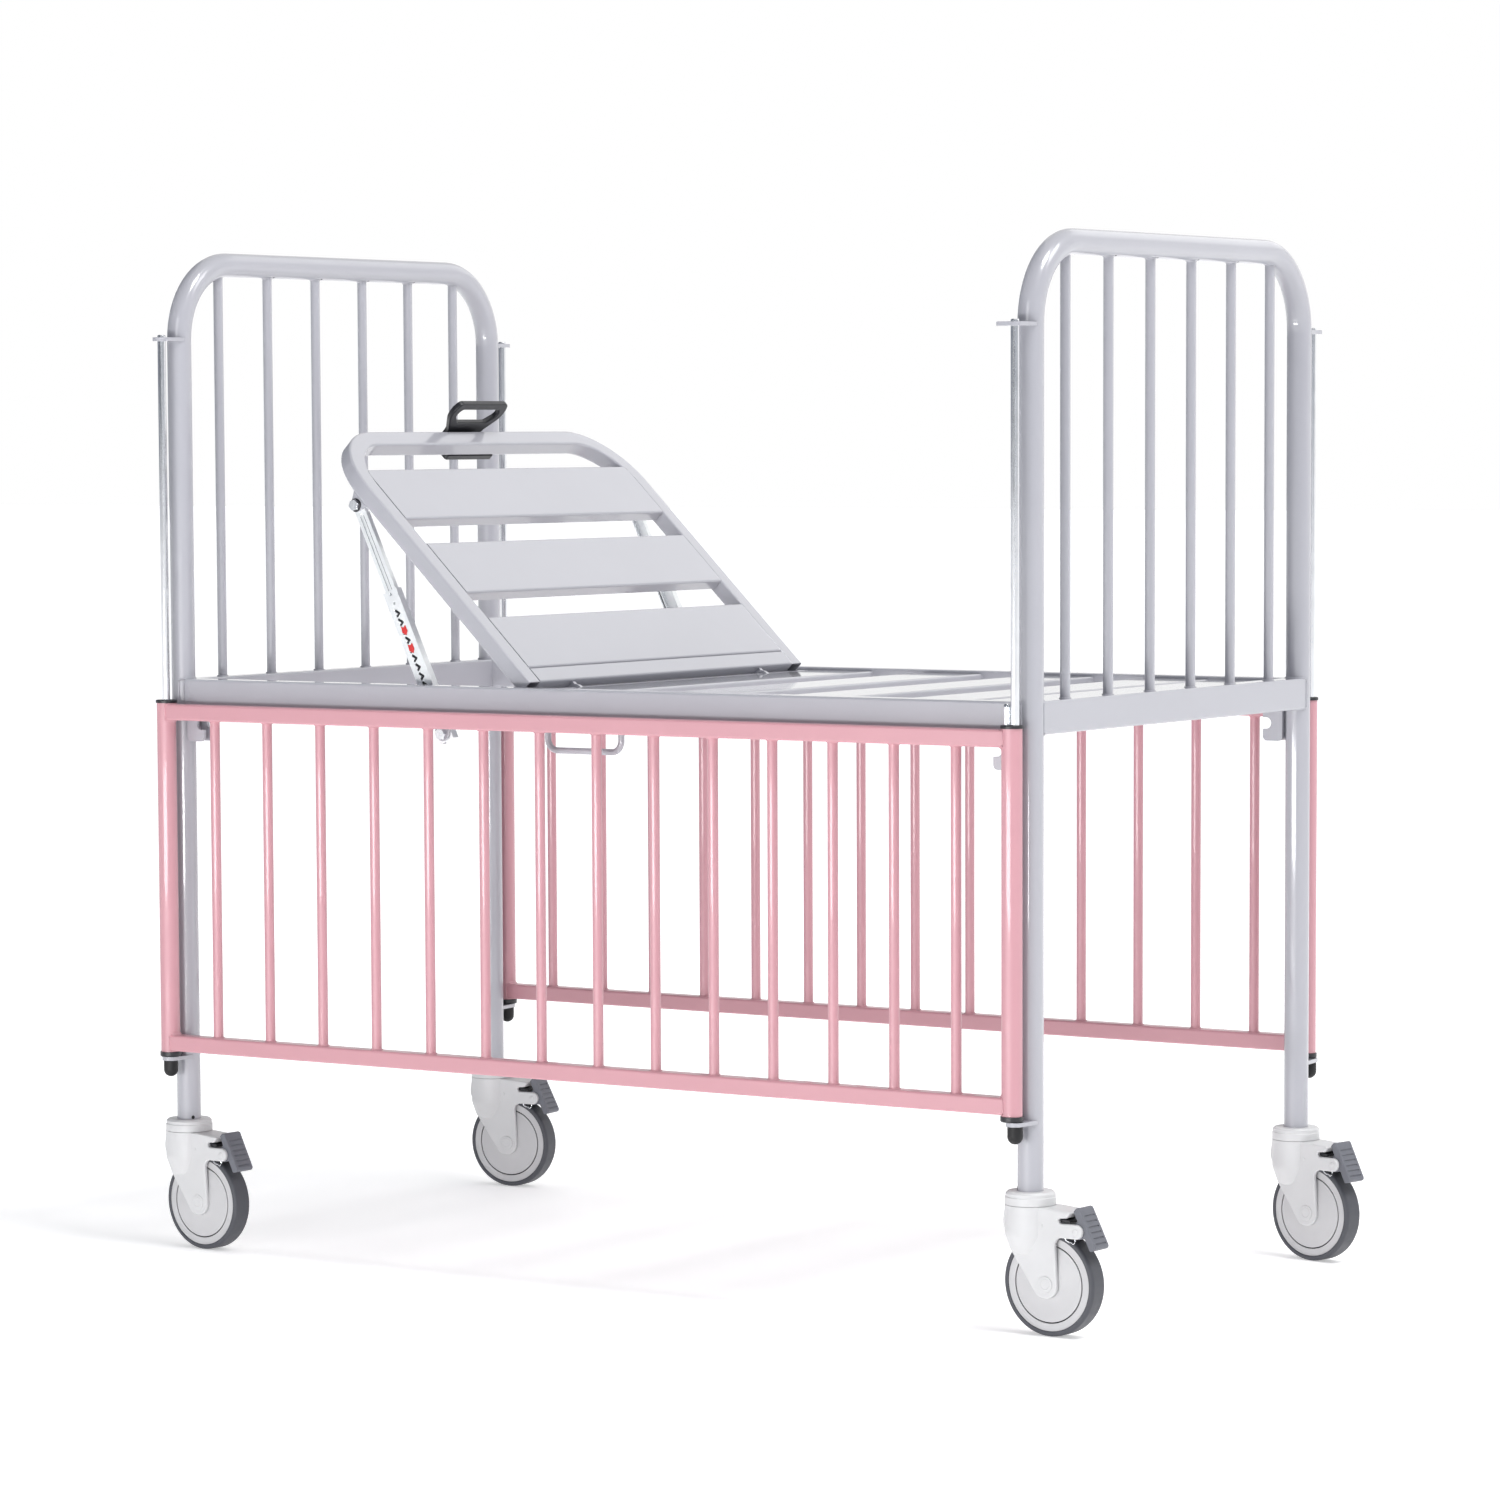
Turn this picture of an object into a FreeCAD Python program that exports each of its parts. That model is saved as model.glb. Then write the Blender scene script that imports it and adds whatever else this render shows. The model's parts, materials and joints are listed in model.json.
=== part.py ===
"""Pediatric hospital cot: steel frame on four braked swivel casters, two sliding side
rails, slatted platform and a backrest on two ratchet stays.

Millimetres.  +X points to the foot end, +Y to the far side, +Z up.
The origin is on the floor, under the middle of the overall box: X is measured from the
middle of the bed here, and all pieces move together at the end.
"""
import FreeCAD, Part
import math
import os

V = FreeCAD.Vector

# ---------------------------------------------------------------- driving dimensions
# End frames: one bent tube each, with round bars above a rectangular end rail
POST_X = 647.0            # end frame centre plane to bed centre
POST_Y = 345.0            # post centre to bed centre
POST_D = 31.75
POST_WALL = 1.5
POST_FOOT_Z = 172.0       # underside of the posts, on the caster collars
HOOP_TOP_Z = 1304.0       # centreline of the top tube
HOOP_BEND_R = 100.0       # centreline radius of the two bends
END_BAR_D = 12.5
END_BAR_PITCH = 105.0
END_BAR_ROOM = 40.0       # least space from a post's side to the first bar's axis
END_BAR_SOCKET = 3.0      # how far a bar's end sits above the lowest line of the top tube

# Bed frame
BED_TOP_Z = 758.0
BEAM_H = 40.0
BEAM_W = 30.0
BEAM_WALL = 1.5
TUBE_CORNER_R = 3.0       # outside corners of every rectangular tube
SADDLE_T = 7.0            # thinnest part of the plate between a side beam and its post

# Fixed platform slats, folded sheet
SLAT_W = 92.0
SLAT_DEPTH = 16.0
SLAT_T = 1.5
SLAT_BEND_R = 3.0         # outside radius of the folds
SLAT_DROP = 4.0           # slat tops below the beam tops
SLAT_FIRST_X = -84.0      # edge of the first slat, beside the backrest pivot tube
SLAT_PITCH = 172.0

# Backrest, at rest raised by BACKREST_ANGLE about its pivot tube
BACKREST_ANGLE = 44.3
PIVOT_X = -102.0
PIVOT_Z = 741.0
PIVOT_TUBE_D = 25.4
PIVOT_TUBE_WALL = 2.0
BACK_LEN = 457.0
BACK_SIDE_GAP = 9.375     # to the side beam's inner face, each side
BACK_TUBE_W = 25.0
BACK_TUBE_T = 21.8
BACK_TUBE_WALL = 1.5
BACK_CORNER_R = 100.0     # outside radius of the top corners
BACK_END_GAP = 2.4        # lower end to the pivot tube
BACK_TOP_DROP = 0.1       # backrest's top below the beam tops when it lies flat
BACK_SLAT_FIRST = 25.5    # from the lower end to the first backrest slat
BACK_SLAT_PITCH = 135.0
BACK_SLAT_W = 91.0
PIVOT_LUG_Y = 220.0
PIVOT_LUG_T = 6.0
PIVOT_LUG_WALL = 4.0
PIVOT_FIT = 0.06          # radial running clearance of the lugs on the pivot tube

# Ratchet stays: an inner rail that slides in an outer channel
STAY_FOOT_X = -240.0      # lower pivot
STAY_FOOT_Z = 694.0
STAY_HEAD_ALONG = 354.0   # upper pivot, along the backrest from its lower end
STAY_HEAD_BELOW = 33.0    # and below its top face
STAY_SHEET = 2.0
STAY_OUTER_W = 23.0
STAY_OUTER_DEPTH = 11.5
STAY_OUTER_LEN = 202.0    # beyond the lower pivot
STAY_OUTER_TAIL = 10.0    # behind the lower pivot
STAY_OVERLAP = 94.0       # inner rail's length inside the channel at rest
STAY_INNER_W = 17.0
STAY_INNER_DEPTH = 7.7
STAY_SLIDE_GAP = 0.5      # between the two webs
STAY_WEB_INSET = 4.3      # outer channel's web to the backrest's side face
TOOTH_FIRST = 44.0        # first ratchet slot, from the lower pivot
TOOTH_PITCH = 12.7
TOOTH_END_MARGIN = 30.0   # no slot centre nearer to the channel's upper end
TOOTH_LEN = 10.8          # each slot is a hook: two legs that meet at a knee
TOOTH_DEPTH = 7.4         # across the channel
TOOTH_W = 3.4
TOOTH_KNEE = 1.5          # knee below the slot's middle
PAWLS_AT = (13.0, 38.4)   # the two pawls, from the inner rail's lower end
PAWL_L = 9.0
PAWL_W = 9.0
PAWL_TAPER = 0.3          # narrow side of a pawl, as a share of its wide one
STAY_GROOVE_W = 5.0       # lengthwise groove pressed into the inner rail
STAY_GROOVE_DEPTH = 0.8
STAY_GROOVE_ABOVE = 12.0   # from the upper pawl to the groove
STAY_EYE_REACH = 13.0     # plain tongue from the inner channel's end to its eye
STAY_HOLE_R = 2.0         # plain holes near the channel's upper end
STAY_HOLES_FROM_END = (18.0, 5.0)
STAY_BOLT_D = 8.0
STAY_BOLT_FIT = 0.06
STAY_HEX = 13.0           # across flats
STAY_HEX_H = 6.0
LUG_T = 4.0
LUG_R = 9.0
EAR_FLARE = 6.0           # how much wider an ear is at its welded edge
LUG_FLARE = 8.0
SIDE_GAP = 0.3            # between plates that turn beside each other

# Carrying handle at the head of the backrest
GRIP_PLATE_T = 7.0
GRIP_PLATE_HALF_W = 52.0
GRIP_PLATE_OVER = 0.5     # plate's edge past the tube's inner face
GRIP_STAND_OFF = 4.0      # loop's inner face beyond the tube
GRIP_T = 8.0
GRIP_EDGE_R = 2.0
GRIP_RISE = 45.5          # above the backrest's top face
# Outline of the loop and of its opening: half width, height above the backrest, corner radius
GRIP_OUTLINE = ((38.0, -4.0, 10.0), (62.0, 26.0, 24.0), (52.5, GRIP_RISE, 9.0))
GRIP_OPENING = ((32.0, 11.0, 5.0), (48.0, 25.0, 8.0), (41.0, 34.5, 6.0))

# Side rails: frames of square tube and round bars that slide on guide rods
ROD_STAND_OFF = 36.5      # guide rod's axis beyond the post's
ROD_D = 10.5
ROD_TOP_Z = 1210.0
RAIL_TUBE_D = 25.4
RAIL_TUBE_WALL = 1.5
RAIL_LOW_Z = 265.0        # lower ends of the upright tubes
RAIL_HIGH_Z = 727.5       # upper ends
RAIL_BEAM_H = 21.0
RAIL_BEAM_W = 22.0
RAIL_BEAM_WALL = 1.5
RAIL_BEAM_INSET = 1.5     # beams stand back from the ends of the upright tubes
RAIL_BAR_D = 13.0
RAIL_BAR_PITCH = 87.0
RAIL_BAR_ROOM = 40.0      # least space from an upright tube to the first bar's axis
FOOT_TUBE_SHIFT = 4.5     # foot-end tubes stand off their rod, to make room for the latch pin
BUSH_D = 28.0
BUSH_TOP_T = 4.0
BUSH_LOW_T = 6.5
BUSH_SPIGOT = 10.0
BUSH_CHAMFER = 1.0
ROD_CHAMFER = 1.0
BUSH_FIT = 0.05           # radial, bush in tube
ROD_FIT = 0.08            # radial, rod in bush
LATCH_D = 9.0
LATCH_FROM_TUBE = 6.4     # latch pin axis from the tube's axis
LATCH_RISE = 26.0         # above the bush
LATCH_BELOW = 40.0        # shank inside the tube
LATCH_FIT = 0.08
REST_GAP = 0.3            # lowered rail above its lower tabs

# Tabs that hold the guide rods, and what is under them
TAB_T = 5.0
TAB_ROD_R = 11.5
TAB_POST_R = 15.0
TOP_TAB_Z = 1202.0        # underside of the upper tabs
LATCH_TAB_MARGIN = 11.0   # wider tab at the foot end, past the pin and the rod
LATCH_TAB_CORNER_R = 7.0
LATCH_HOLE_GAP = 0.4      # radial, latch pin in that tab
NUT_AF = 13.0
NUT_H = 8.0
BUMPER_D = 19.0
BUMPER_H = 21.7
BUMPER_WALL_R = 7.8       # pocket for the nut

# Corner hooks under the bed frame
HOOK_REACH = 44.0         # from the post's centre
HOOK_DROP = 42.0
HOOK_SHEET = 4.0
HOOK_HALF_W = 13.0
HOOK_MOUTH_Z = 19.0       # notch centre below the beam
HOOK_MOUTH_H = 15.0
HOOK_MOUTH_L = 12.0

# Wire loops under the side beams
LOOP_WIRE_D = 8.0
LOOP_HALF_W = 56.0
LOOP_DROP = 42.0
LOOP_BEND_R = 14.0

# Casters
WHEEL_D = 127.0
TYRE_W = 28.0
TYRE_T = 6.5
TYRE_SHOULDER_R = 4.5
RIM_W = 25.0
RIM_EDGE_R = 1.0
RIM_GROOVE_R = 47.0
RIM_GROOVE_W = 1.6
RIM_GROOVE_DEPTH = 3.0
HUB_W = 31.0
HUB_R = 15.0
TRAIL = 34.0              # wheel axle from the swivel axis
AXLE_D = 10.0
AXLE_CAP_R = 9.5
AXLE_CAP_T = 0.8
AXLE_CAP_CHAMFER = 0.4
AXLE_FIT = 0.06
FORK_GAP = 0.5            # hub face to fork cheek, each side
FORK_CHEEK = 4.5
FORK_EDGE_R = 1.9         # rounding of the cheeks' outline
FORK_HUB_R = 17.0         # round lower end of the cheeks
FORK_LOBE_BACK = 10.8     # where the lower end's rounding begins behind the axle
FORK_LEG_W = 12.5         # front of the leg from the axle, where the pedal's arm leaves it
FORK_LEG_R = 9.0
FORK_BACK_X = 15.0        # back of the fork behind the swivel axis, at FORK_BACK_ABOVE
FORK_BACK_ABOVE = 37.0    # above the axle
FORK_BACK_R = 30.0
FORK_NAPE_X = 27.0        # back of the cheeks under the collar
FORK_NAPE_BELOW = 22.0    # below the collar
FORK_NAPE_LEAN = 3.0      # the cheeks' back edge leans in by this much at its top
FORK_NAPE_R = 20.0
FORK_WHEEL_CLEAR = 4.0    # over the tyre
HEAD_WAIST = 35.0         # round head: height of its straight side
HEAD_WAIST_R = 25.0       # rounding below that
HEAD_LOW_R = 22.0
HEAD_EDGE_R = 12.0
HEAD_DEPTH = 61.0         # and of the whole head, below the collar
COLLAR_R = 31.0
COLLAR_H = 16.0
COLLAR_STEP = 0.8         # the collar's upper band is a little narrower
COLLAR_STEP_H = 7.0
COLLAR_CHAMFER = 2.5
COLLAR_GAP = 0.4          # collar to turning housing
STEM_R = 9.0
STEM_DEPTH = 22.0
STEM_FIT = 0.06
STEM_END_GAP = 0.5
PLUG_H = 40.0
PLUG_FIT = 0.05
PEDAL_PIVOT_X = 76.5
PEDAL_PIVOT_Z = 130.0
PEDAL_ARM_R = 8.7
PEDAL_PIN_R = 3.0
PEDAL_FIT = 0.06
# Prong over the pedal: a tooth of the housing, as reach back from the pedal's pin, height above it
# and the corner's rounding
PRONG_ROOT = (25.0, 14.5, 2.2)
PRONG_UNDER = (12.5, 15.5, 4.0)
PRONG_NOSE = (6.8, 22.8, 2.0)
PRONG_ARM_BACK = 22.5     # where the arm's top runs into the prong's root, from the pin
PRONG_ARM_R = 3.0
PRONG_BROW_R = 6.0
NEARLY = 0.1              # keeps the ends of two large roundings apart
PEDAL_TILT = 26.6         # degrees, tread to the vertical
PEDAL_UP = 28.0           # tread above the pin, along its slope
PEDAL_DOWN = 30.0         # and below it
PEDAL_FACE = 14.5         # tread from the pin's axis
PEDAL_T = 9.5
PEDAL_CORNER_R = 4.0
PEDAL_EDGE_R = 1.2
PEDAL_TONGUE_R = 8.0
PEDAL_TONGUE_ROOT = 11.0  # half width where the tongue joins the block
PEDAL_SIDE_GAP = 0.5      # to the fork's cheeks
PEDAL_RIB_R = 1.1
PEDAL_RIB_PITCH = 7.2
PEDAL_RIB_COUNT = 6
PEDAL_RIB_INSET = 4.5
# Caster headings at rest, in degrees from +X
CASTERS = (("head_near", -1, -1, -5.0), ("head_far", -1, 1, 5.0),
           ("foot_near", 1, -1, -3.0), ("foot_far", 1, 1, -12.0))

# ---------------------------------------------------------------- derived values
POST_R = POST_D / 2
BEAM_LOW_Z = BED_TOP_Z - BEAM_H
BEAM_OUT_Y = POST_Y + POST_R
BEAM_IN_Y = BEAM_OUT_Y - BEAM_W
ROD_Y = POST_Y + ROD_STAND_OFF
SADDLE_X = POST_X - POST_R - SADDLE_T
SLAT_TOP_Z = BED_TOP_Z - SLAT_DROP
END_RAIL_IN_X = POST_X - BEAM_W / 2
END_SLAT_X = END_RAIL_IN_X - SLAT_W
SLAT_SPACED = 1 + int((END_SLAT_X - SLAT_W - SLAT_FIRST_X) / SLAT_PITCH)
END_BAR_COUNT = 1 + int(2 * (POST_Y - POST_R - END_BAR_ROOM) / END_BAR_PITCH)
BACK_HALF_W = BEAM_IN_Y - BACK_SIDE_GAP
BACK_LOW_X = PIVOT_X - PIVOT_TUBE_D / 2 - BACK_END_GAP
BACK_TOP_Z = BED_TOP_Z - BACK_TOP_DROP
BACK_SLAT_ROOM = BACK_LEN - BACK_TUBE_W - BACK_SLAT_W - BACK_SLAT_FIRST
BACK_SLAT_COUNT = 1 + int(BACK_SLAT_ROOM / BACK_SLAT_PITCH)
PIVOT = V(PIVOT_X, 0, PIVOT_Z)
STAY_FOOT = V(STAY_FOOT_X, 0, STAY_FOOT_Z)
STAY_WEB_Y = BACK_HALF_W - STAY_WEB_INSET   # outer face of the outer channel's web
STAY_INNER_WEB_Y = STAY_WEB_Y - STAY_SHEET - STAY_SLIDE_GAP
STAY_INNER_START = STAY_OUTER_LEN - STAY_OVERLAP
TOOTH_COUNT = 1 + int((STAY_OUTER_LEN - TOOTH_END_MARGIN - TOOTH_FIRST) / TOOTH_PITCH)
STAY_LUG_Y = STAY_WEB_Y + SIDE_GAP          # inner face of the lower lug
STAY_EAR_Y = STAY_INNER_WEB_Y + SIDE_GAP    # inner face of the upper ear
LOW_TAB_TOP_Z = RAIL_LOW_Z - BUSH_LOW_T - REST_GAP
RAIL_TOP_BEAM_Z = RAIL_HIGH_Z - RAIL_BEAM_INSET - RAIL_BEAM_H
RAIL_LOW_BEAM_Z = RAIL_LOW_Z + RAIL_BEAM_INSET
RAIL_TUBE_R = RAIL_TUBE_D / 2
FOOT_TUBE_X = POST_X - FOOT_TUBE_SHIFT
LATCH_X = FOOT_TUBE_X - LATCH_FROM_TUBE
RAIL_BAR_COUNT = 1 + int(2 * (FOOT_TUBE_X - RAIL_TUBE_R - RAIL_BAR_ROOM) / RAIL_BAR_PITCH)
WHEEL_R = WHEEL_D / 2
FORK_IN_Y = HUB_W / 2 + FORK_GAP
FORK_OUT_Y = FORK_IN_Y + FORK_CHEEK
COLLAR_LOW_Z = POST_FOOT_Z - COLLAR_H
FORK_TOP_Z = COLLAR_LOW_Z - COLLAR_GAP
STEM_LOW_Z = COLLAR_LOW_Z - STEM_DEPTH

X_AXIS = V(1, 0, 0)
Y_AXIS = V(0, 1, 0)
Z_AXIS = V(0, 0, 1)


# ---------------------------------------------------------------- helpers
def box(x0, x1, y0, y1, z0, z1):
    """A block between two corners."""
    return Part.makeBox(x1 - x0, y1 - y0, z1 - z0, V(x0, y0, z0))


def rod(radius, start, end):
    """A round bar from one point to another."""
    axis = end - start
    return Part.makeCylinder(radius, axis.Length, start, axis)


def pipe(radius, wall, start, end):
    """A round tube from one point to another."""
    return rod(radius, start, end).cut(rod(radius - wall, start, end))


def hexagon(across_flats, start, end):
    """A hexagonal bolt head or nut."""
    corner_r = across_flats / math.sqrt(3)
    points = [V(corner_r * math.cos(math.radians(60 * k)),
                corner_r * math.sin(math.radians(60 * k)), 0) for k in range(7)]
    prism = Part.Face(Part.makePolygon(points)).extrude(V(0, 0, (end - start).Length))
    turn = FreeCAD.Rotation(Z_AXIS, end - start)
    prism.Placement = FreeCAD.Placement(start, turn)
    return prism


def profile_xz(points, y0, y1):
    """A closed outline of (x, z) points, as a solid from y0 to y1."""
    wire = Part.makePolygon([V(x, y0, z) for x, z in points + points[:1]])
    return Part.Face(wire).extrude(V(0, y1 - y0, 0))


def profile_xy(points, z0, z1):
    """A closed outline of (x, y) points, as a solid from z0 to z1."""
    wire = Part.makePolygon([V(x, y, z0) for x, y in points + points[:1]])
    return Part.Face(wire).extrude(V(0, 0, z1 - z0))


def fillet_edges(solid, radius, chosen):
    """Round those edges of a solid that the test picks."""
    edges = [edge for edge in solid.Edges if chosen(edge)]
    return solid.makeFillet(radius, edges)


def ring_edges(solid, z):
    """The round edges of a solid at one height."""
    return [e for e in solid.Edges if isinstance(e.Curve, Part.Circle) and abs(e.CenterOfMass.z - z) < 0.01]


def rounded_outline(corners):
    """Flat face in XZ from (x, z, radius) corners, each rounded by a tangent arc."""
    cuts = []
    for k, (x, z, radius) in enumerate(corners):
        following = corners[(k + 1) % len(corners)]
        corner = V(x, 0, z)
        into = (corner - V(corners[k - 1][0], 0, corners[k - 1][1])).normalize()
        out = (V(following[0], 0, following[1]) - corner).normalize()
        turn = into.getAngle(out)
        reach = radius * math.tan(turn / 2)
        bulge = radius / math.cos(turn / 2) - radius
        middle = corner + (out - into).normalize() * bulge
        cuts.append((corner - into * reach, middle, corner + out * reach))
    edges = []
    for k, (first, middle, last) in enumerate(cuts):
        if corners[k][2] > 0:
            edges.append(Part.Arc(first, middle, last).toShape())
        next_start = cuts[(k + 1) % len(cuts)][0]
        if (next_start - last).Length > 1e-6:
            edges.append(Part.LineSegment(last, next_start).toShape())
    return Part.Face(Part.Wire(edges))


def slab(corners, half):
    """A rounded XZ outline as a solid from -half to half along Y."""
    return rounded_outline(corners).extrude(V(0, 2 * half, 0)).translated(V(0, -half, 0))


def soften(solid, half, radius):
    """Round the edges of a slab's two flat faces."""
    edges = [e for e in solid.Edges if abs(abs(e.CenterOfMass.y) - half) < 0.01
             and e.BoundBox.YLength < 0.01]
    return solid.makeFillet(radius, edges)


def rounded_bar(low, high, axis, radius):
    """A block between two corners, with its edges along one axis rounded."""
    block = box(low.x, high.x, low.y, high.y, low.z, high.z)
    return fillet_edges(block, radius, lambda e: runs_along(e, axis))


def rectangular_tube(low, high, axis, wall):
    """Tube along one axis between two corners, its long edges rounded."""
    inset = (V(1, 1, 1) - axis) * wall
    outer = rounded_bar(low, high, axis, TUBE_CORNER_R)
    return outer.cut(rounded_bar(low + inset, high - inset, axis, TUBE_CORNER_R - wall))


def runs_along(edge, axis):
    """True for a straight edge parallel to an axis."""
    if not isinstance(edge.Curve, Part.Line):
        return False
    return abs(abs(edge.tangentAt(edge.FirstParameter).dot(axis)) - 1) < 1e-6


def rounded_path(points, radius):
    """A wire through points, with tangent arcs of one radius at the inner ones."""
    edges = []
    start = points[0]
    for before, corner, after in zip(points, points[1:], points[2:]):
        into = (corner - before).normalize()
        out = (after - corner).normalize()
        turn = into.getAngle(out)
        reach = radius * math.tan(turn / 2)
        first = corner - into * reach
        last = corner + out * reach
        middle = corner + (out - into).normalize() * (radius / math.cos(turn / 2) - radius)
        edges.append(Part.LineSegment(start, first).toShape())
        edges.append(Part.Arc(first, middle, last).toShape())
        start = last
    edges.append(Part.LineSegment(start, points[-1]).toShape())
    return Part.Wire(edges)


def bent_rod(radius, points, bend_r):
    """A round bar through points, bent to one centreline radius at the inner ones."""
    pieces = []
    start = points[0]
    for before, corner, after in zip(points, points[1:], points[2:]):
        into = (corner - before).normalize()
        out = (after - corner).normalize()
        turn = into.getAngle(out)
        reach = bend_r * math.tan(turn / 2)
        first = corner - into * reach
        centre = corner + (out - into).normalize() * (bend_r / math.cos(turn / 2))
        disc = Part.Face(Part.Wire(Part.makeCircle(radius, first, into)))
        pieces.append(rod(radius, start, first))
        pieces.append(disc.revolve(centre, into.cross(out), math.degrees(turn)))
        start = corner + out * reach
    pieces.append(rod(radius, start, points[-1]))
    return pieces[0].multiFuse(pieces[1:]).removeSplitter()


def sweep(path, section):
    """A solid swept by a closed wire along a path."""
    return path.makePipeShell([section], True, True)


def mirror_y(shape):
    """The same piece on the far side."""
    return shape.mirror(V(0, 0, 0), Y_AXIS)


def near_and_far(shape):
    return [shape, mirror_y(shape)]


def raise_backrest(shape):
    """Turn a piece that was built with the backrest flat to the rest pose."""
    turned = shape.copy()
    turned.rotate(PIVOT, Y_AXIS, BACKREST_ANGLE)
    return turned


def folded_slat(width, depth, sheet, bend_r, length):
    """Sheet slat with both long edges folded down: a solid along Y, top face at z = 0."""
    half = length / 2
    outer = box(0, width, -half, half, -depth, 0)
    outer = fillet_edges(outer, bend_r, lambda e: runs_along(e, Y_AXIS) and e.CenterOfMass.z > -bend_r)
    inner = box(sheet, width - sheet, -half, half, -depth, -sheet)
    inner_r = bend_r - sheet
    inner = fillet_edges(inner, inner_r, lambda e: runs_along(e, Y_AXIS) and e.CenterOfMass.z > -bend_r)
    return outer.cut(inner)


# ---------------------------------------------------------------- end frames
def bar_positions(count, pitch):
    return [(k - (count - 1) / 2) * pitch for k in range(count)]


def end_bar_solids(side):
    """The upright bars of one end frame, from the end rail into the top tube."""
    x = side * POST_X
    top = HOOP_TOP_Z - POST_R + END_BAR_SOCKET
    return [rod(END_BAR_D / 2, V(x, y, BED_TOP_Z), V(x, y, top))
            for y in bar_positions(END_BAR_COUNT, END_BAR_PITCH)]


def hoop(side):
    """Bent tube of one end: post, bend, top tube, bend, post, with sockets for the bars."""
    x = side * POST_X
    corners = [V(x, -POST_Y, POST_FOOT_Z), V(x, -POST_Y, HOOP_TOP_Z),
               V(x, POST_Y, HOOP_TOP_Z), V(x, POST_Y, POST_FOOT_Z)]
    outside = bent_rod(POST_R, corners, HOOP_BEND_R)
    inside = bent_rod(POST_R - POST_WALL, corners, HOOP_BEND_R)
    return outside.cut(inside).cut(Part.makeCompound(end_bar_solids(side)))


def post_solid(x, y):
    return rod(POST_R, V(x, y, POST_FOOT_Z), V(x, y, HOOP_TOP_Z - HOOP_BEND_R))


def end_rail(side):
    """Rectangular tube between the two posts, coped to them."""
    x = side * POST_X
    tube = rectangular_tube(V(x - BEAM_W / 2, -POST_Y, BEAM_LOW_Z),
                            V(x + BEAM_W / 2, POST_Y, BED_TOP_Z), Y_AXIS, BEAM_WALL)
    return tube.cut(post_solid(x, -POST_Y)).cut(post_solid(x, POST_Y))


# ---------------------------------------------------------------- bed frame
def side_beam():
    """Near side beam, a rectangular tube between the saddles."""
    return rectangular_tube(V(-SADDLE_X, -BEAM_OUT_Y, BEAM_LOW_Z), V(SADDLE_X, -BEAM_IN_Y, BED_TOP_Z),
                            X_AXIS, BEAM_WALL)


def saddles():
    """Plates that seat the side beams on the round posts."""
    pieces = []
    for side in (-1, 1):
        x0, x1 = sorted((side * SADDLE_X, side * END_RAIL_IN_X))
        plate = rounded_bar(V(x0, -BEAM_OUT_Y, BEAM_LOW_Z), V(x1, -BEAM_IN_Y, BED_TOP_Z),
                            X_AXIS, TUBE_CORNER_R)
        pieces += near_and_far(plate.cut(post_solid(side * POST_X, -POST_Y)))
    return pieces


def platform_slats():
    """Folded slats between the side beams, from the pivot tube to the foot end rail."""
    slat = folded_slat(SLAT_W, SLAT_DEPTH, SLAT_T, SLAT_BEND_R, 2 * BEAM_IN_Y)
    starts = [SLAT_FIRST_X + k * SLAT_PITCH for k in range(SLAT_SPACED)]
    starts.append(END_SLAT_X)
    return [slat.translated(V(x, 0, SLAT_TOP_Z)) for x in starts]


def pivot_tube():
    return pipe(PIVOT_TUBE_D / 2, PIVOT_TUBE_WALL, V(PIVOT_X, -BEAM_IN_Y, PIVOT_Z),
                V(PIVOT_X, BEAM_IN_Y, PIVOT_Z))


def corner_hooks():
    """Bent-sheet hooks under the side beams, one beside each post."""
    pieces = []
    for side in (-1, 1):
        web_x = POST_X - POST_R
        tip_x = POST_X - HOOK_REACH
        low = BEAM_LOW_Z - HOOK_DROP
        mouth = BEAM_LOW_Z - HOOK_MOUTH_Z
        block = box(tip_x, web_x, -POST_Y - HOOK_HALF_W, -POST_Y + HOOK_HALF_W, low, BEAM_LOW_Z)
        block = fillet_edges(block, HOOK_SHEET * 1.5,
                             lambda e: runs_along(e, Y_AXIS) and e.CenterOfMass.z < low + 1)
        core = box(tip_x, web_x - HOOK_SHEET, -POST_Y - HOOK_HALF_W + HOOK_SHEET,
                   -POST_Y + HOOK_HALF_W - HOOK_SHEET, low, BEAM_LOW_Z)
        notch_r = HOOK_MOUTH_H / 2
        notch_x = tip_x + HOOK_MOUTH_L - notch_r
        notch = box(tip_x - 1, notch_x, -POST_Y - BEAM_W, -POST_Y + BEAM_W,
                    mouth - notch_r, mouth + notch_r)
        notch = notch.fuse(rod(notch_r, V(notch_x, -POST_Y - BEAM_W, mouth),
                               V(notch_x, -POST_Y + BEAM_W, mouth)))
        hook = block.cut(core).cut(notch).cut(post_solid(POST_X, -POST_Y))
        if side < 0:
            hook = hook.mirror(V(0, 0, 0), V(1, 0, 0))
        pieces += near_and_far(hook)
    return pieces


def wire_loop():
    """Bent wire handle that hangs from the near side beam."""
    y = -POST_Y
    low = BEAM_LOW_Z - LOOP_DROP + LOOP_WIRE_D / 2
    corners = [V(-LOOP_HALF_W, y, BEAM_LOW_Z), V(-LOOP_HALF_W, y, low),
               V(LOOP_HALF_W, y, low), V(LOOP_HALF_W, y, BEAM_LOW_Z)]
    return bent_rod(LOOP_WIRE_D / 2, corners, LOOP_BEND_R)


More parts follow.
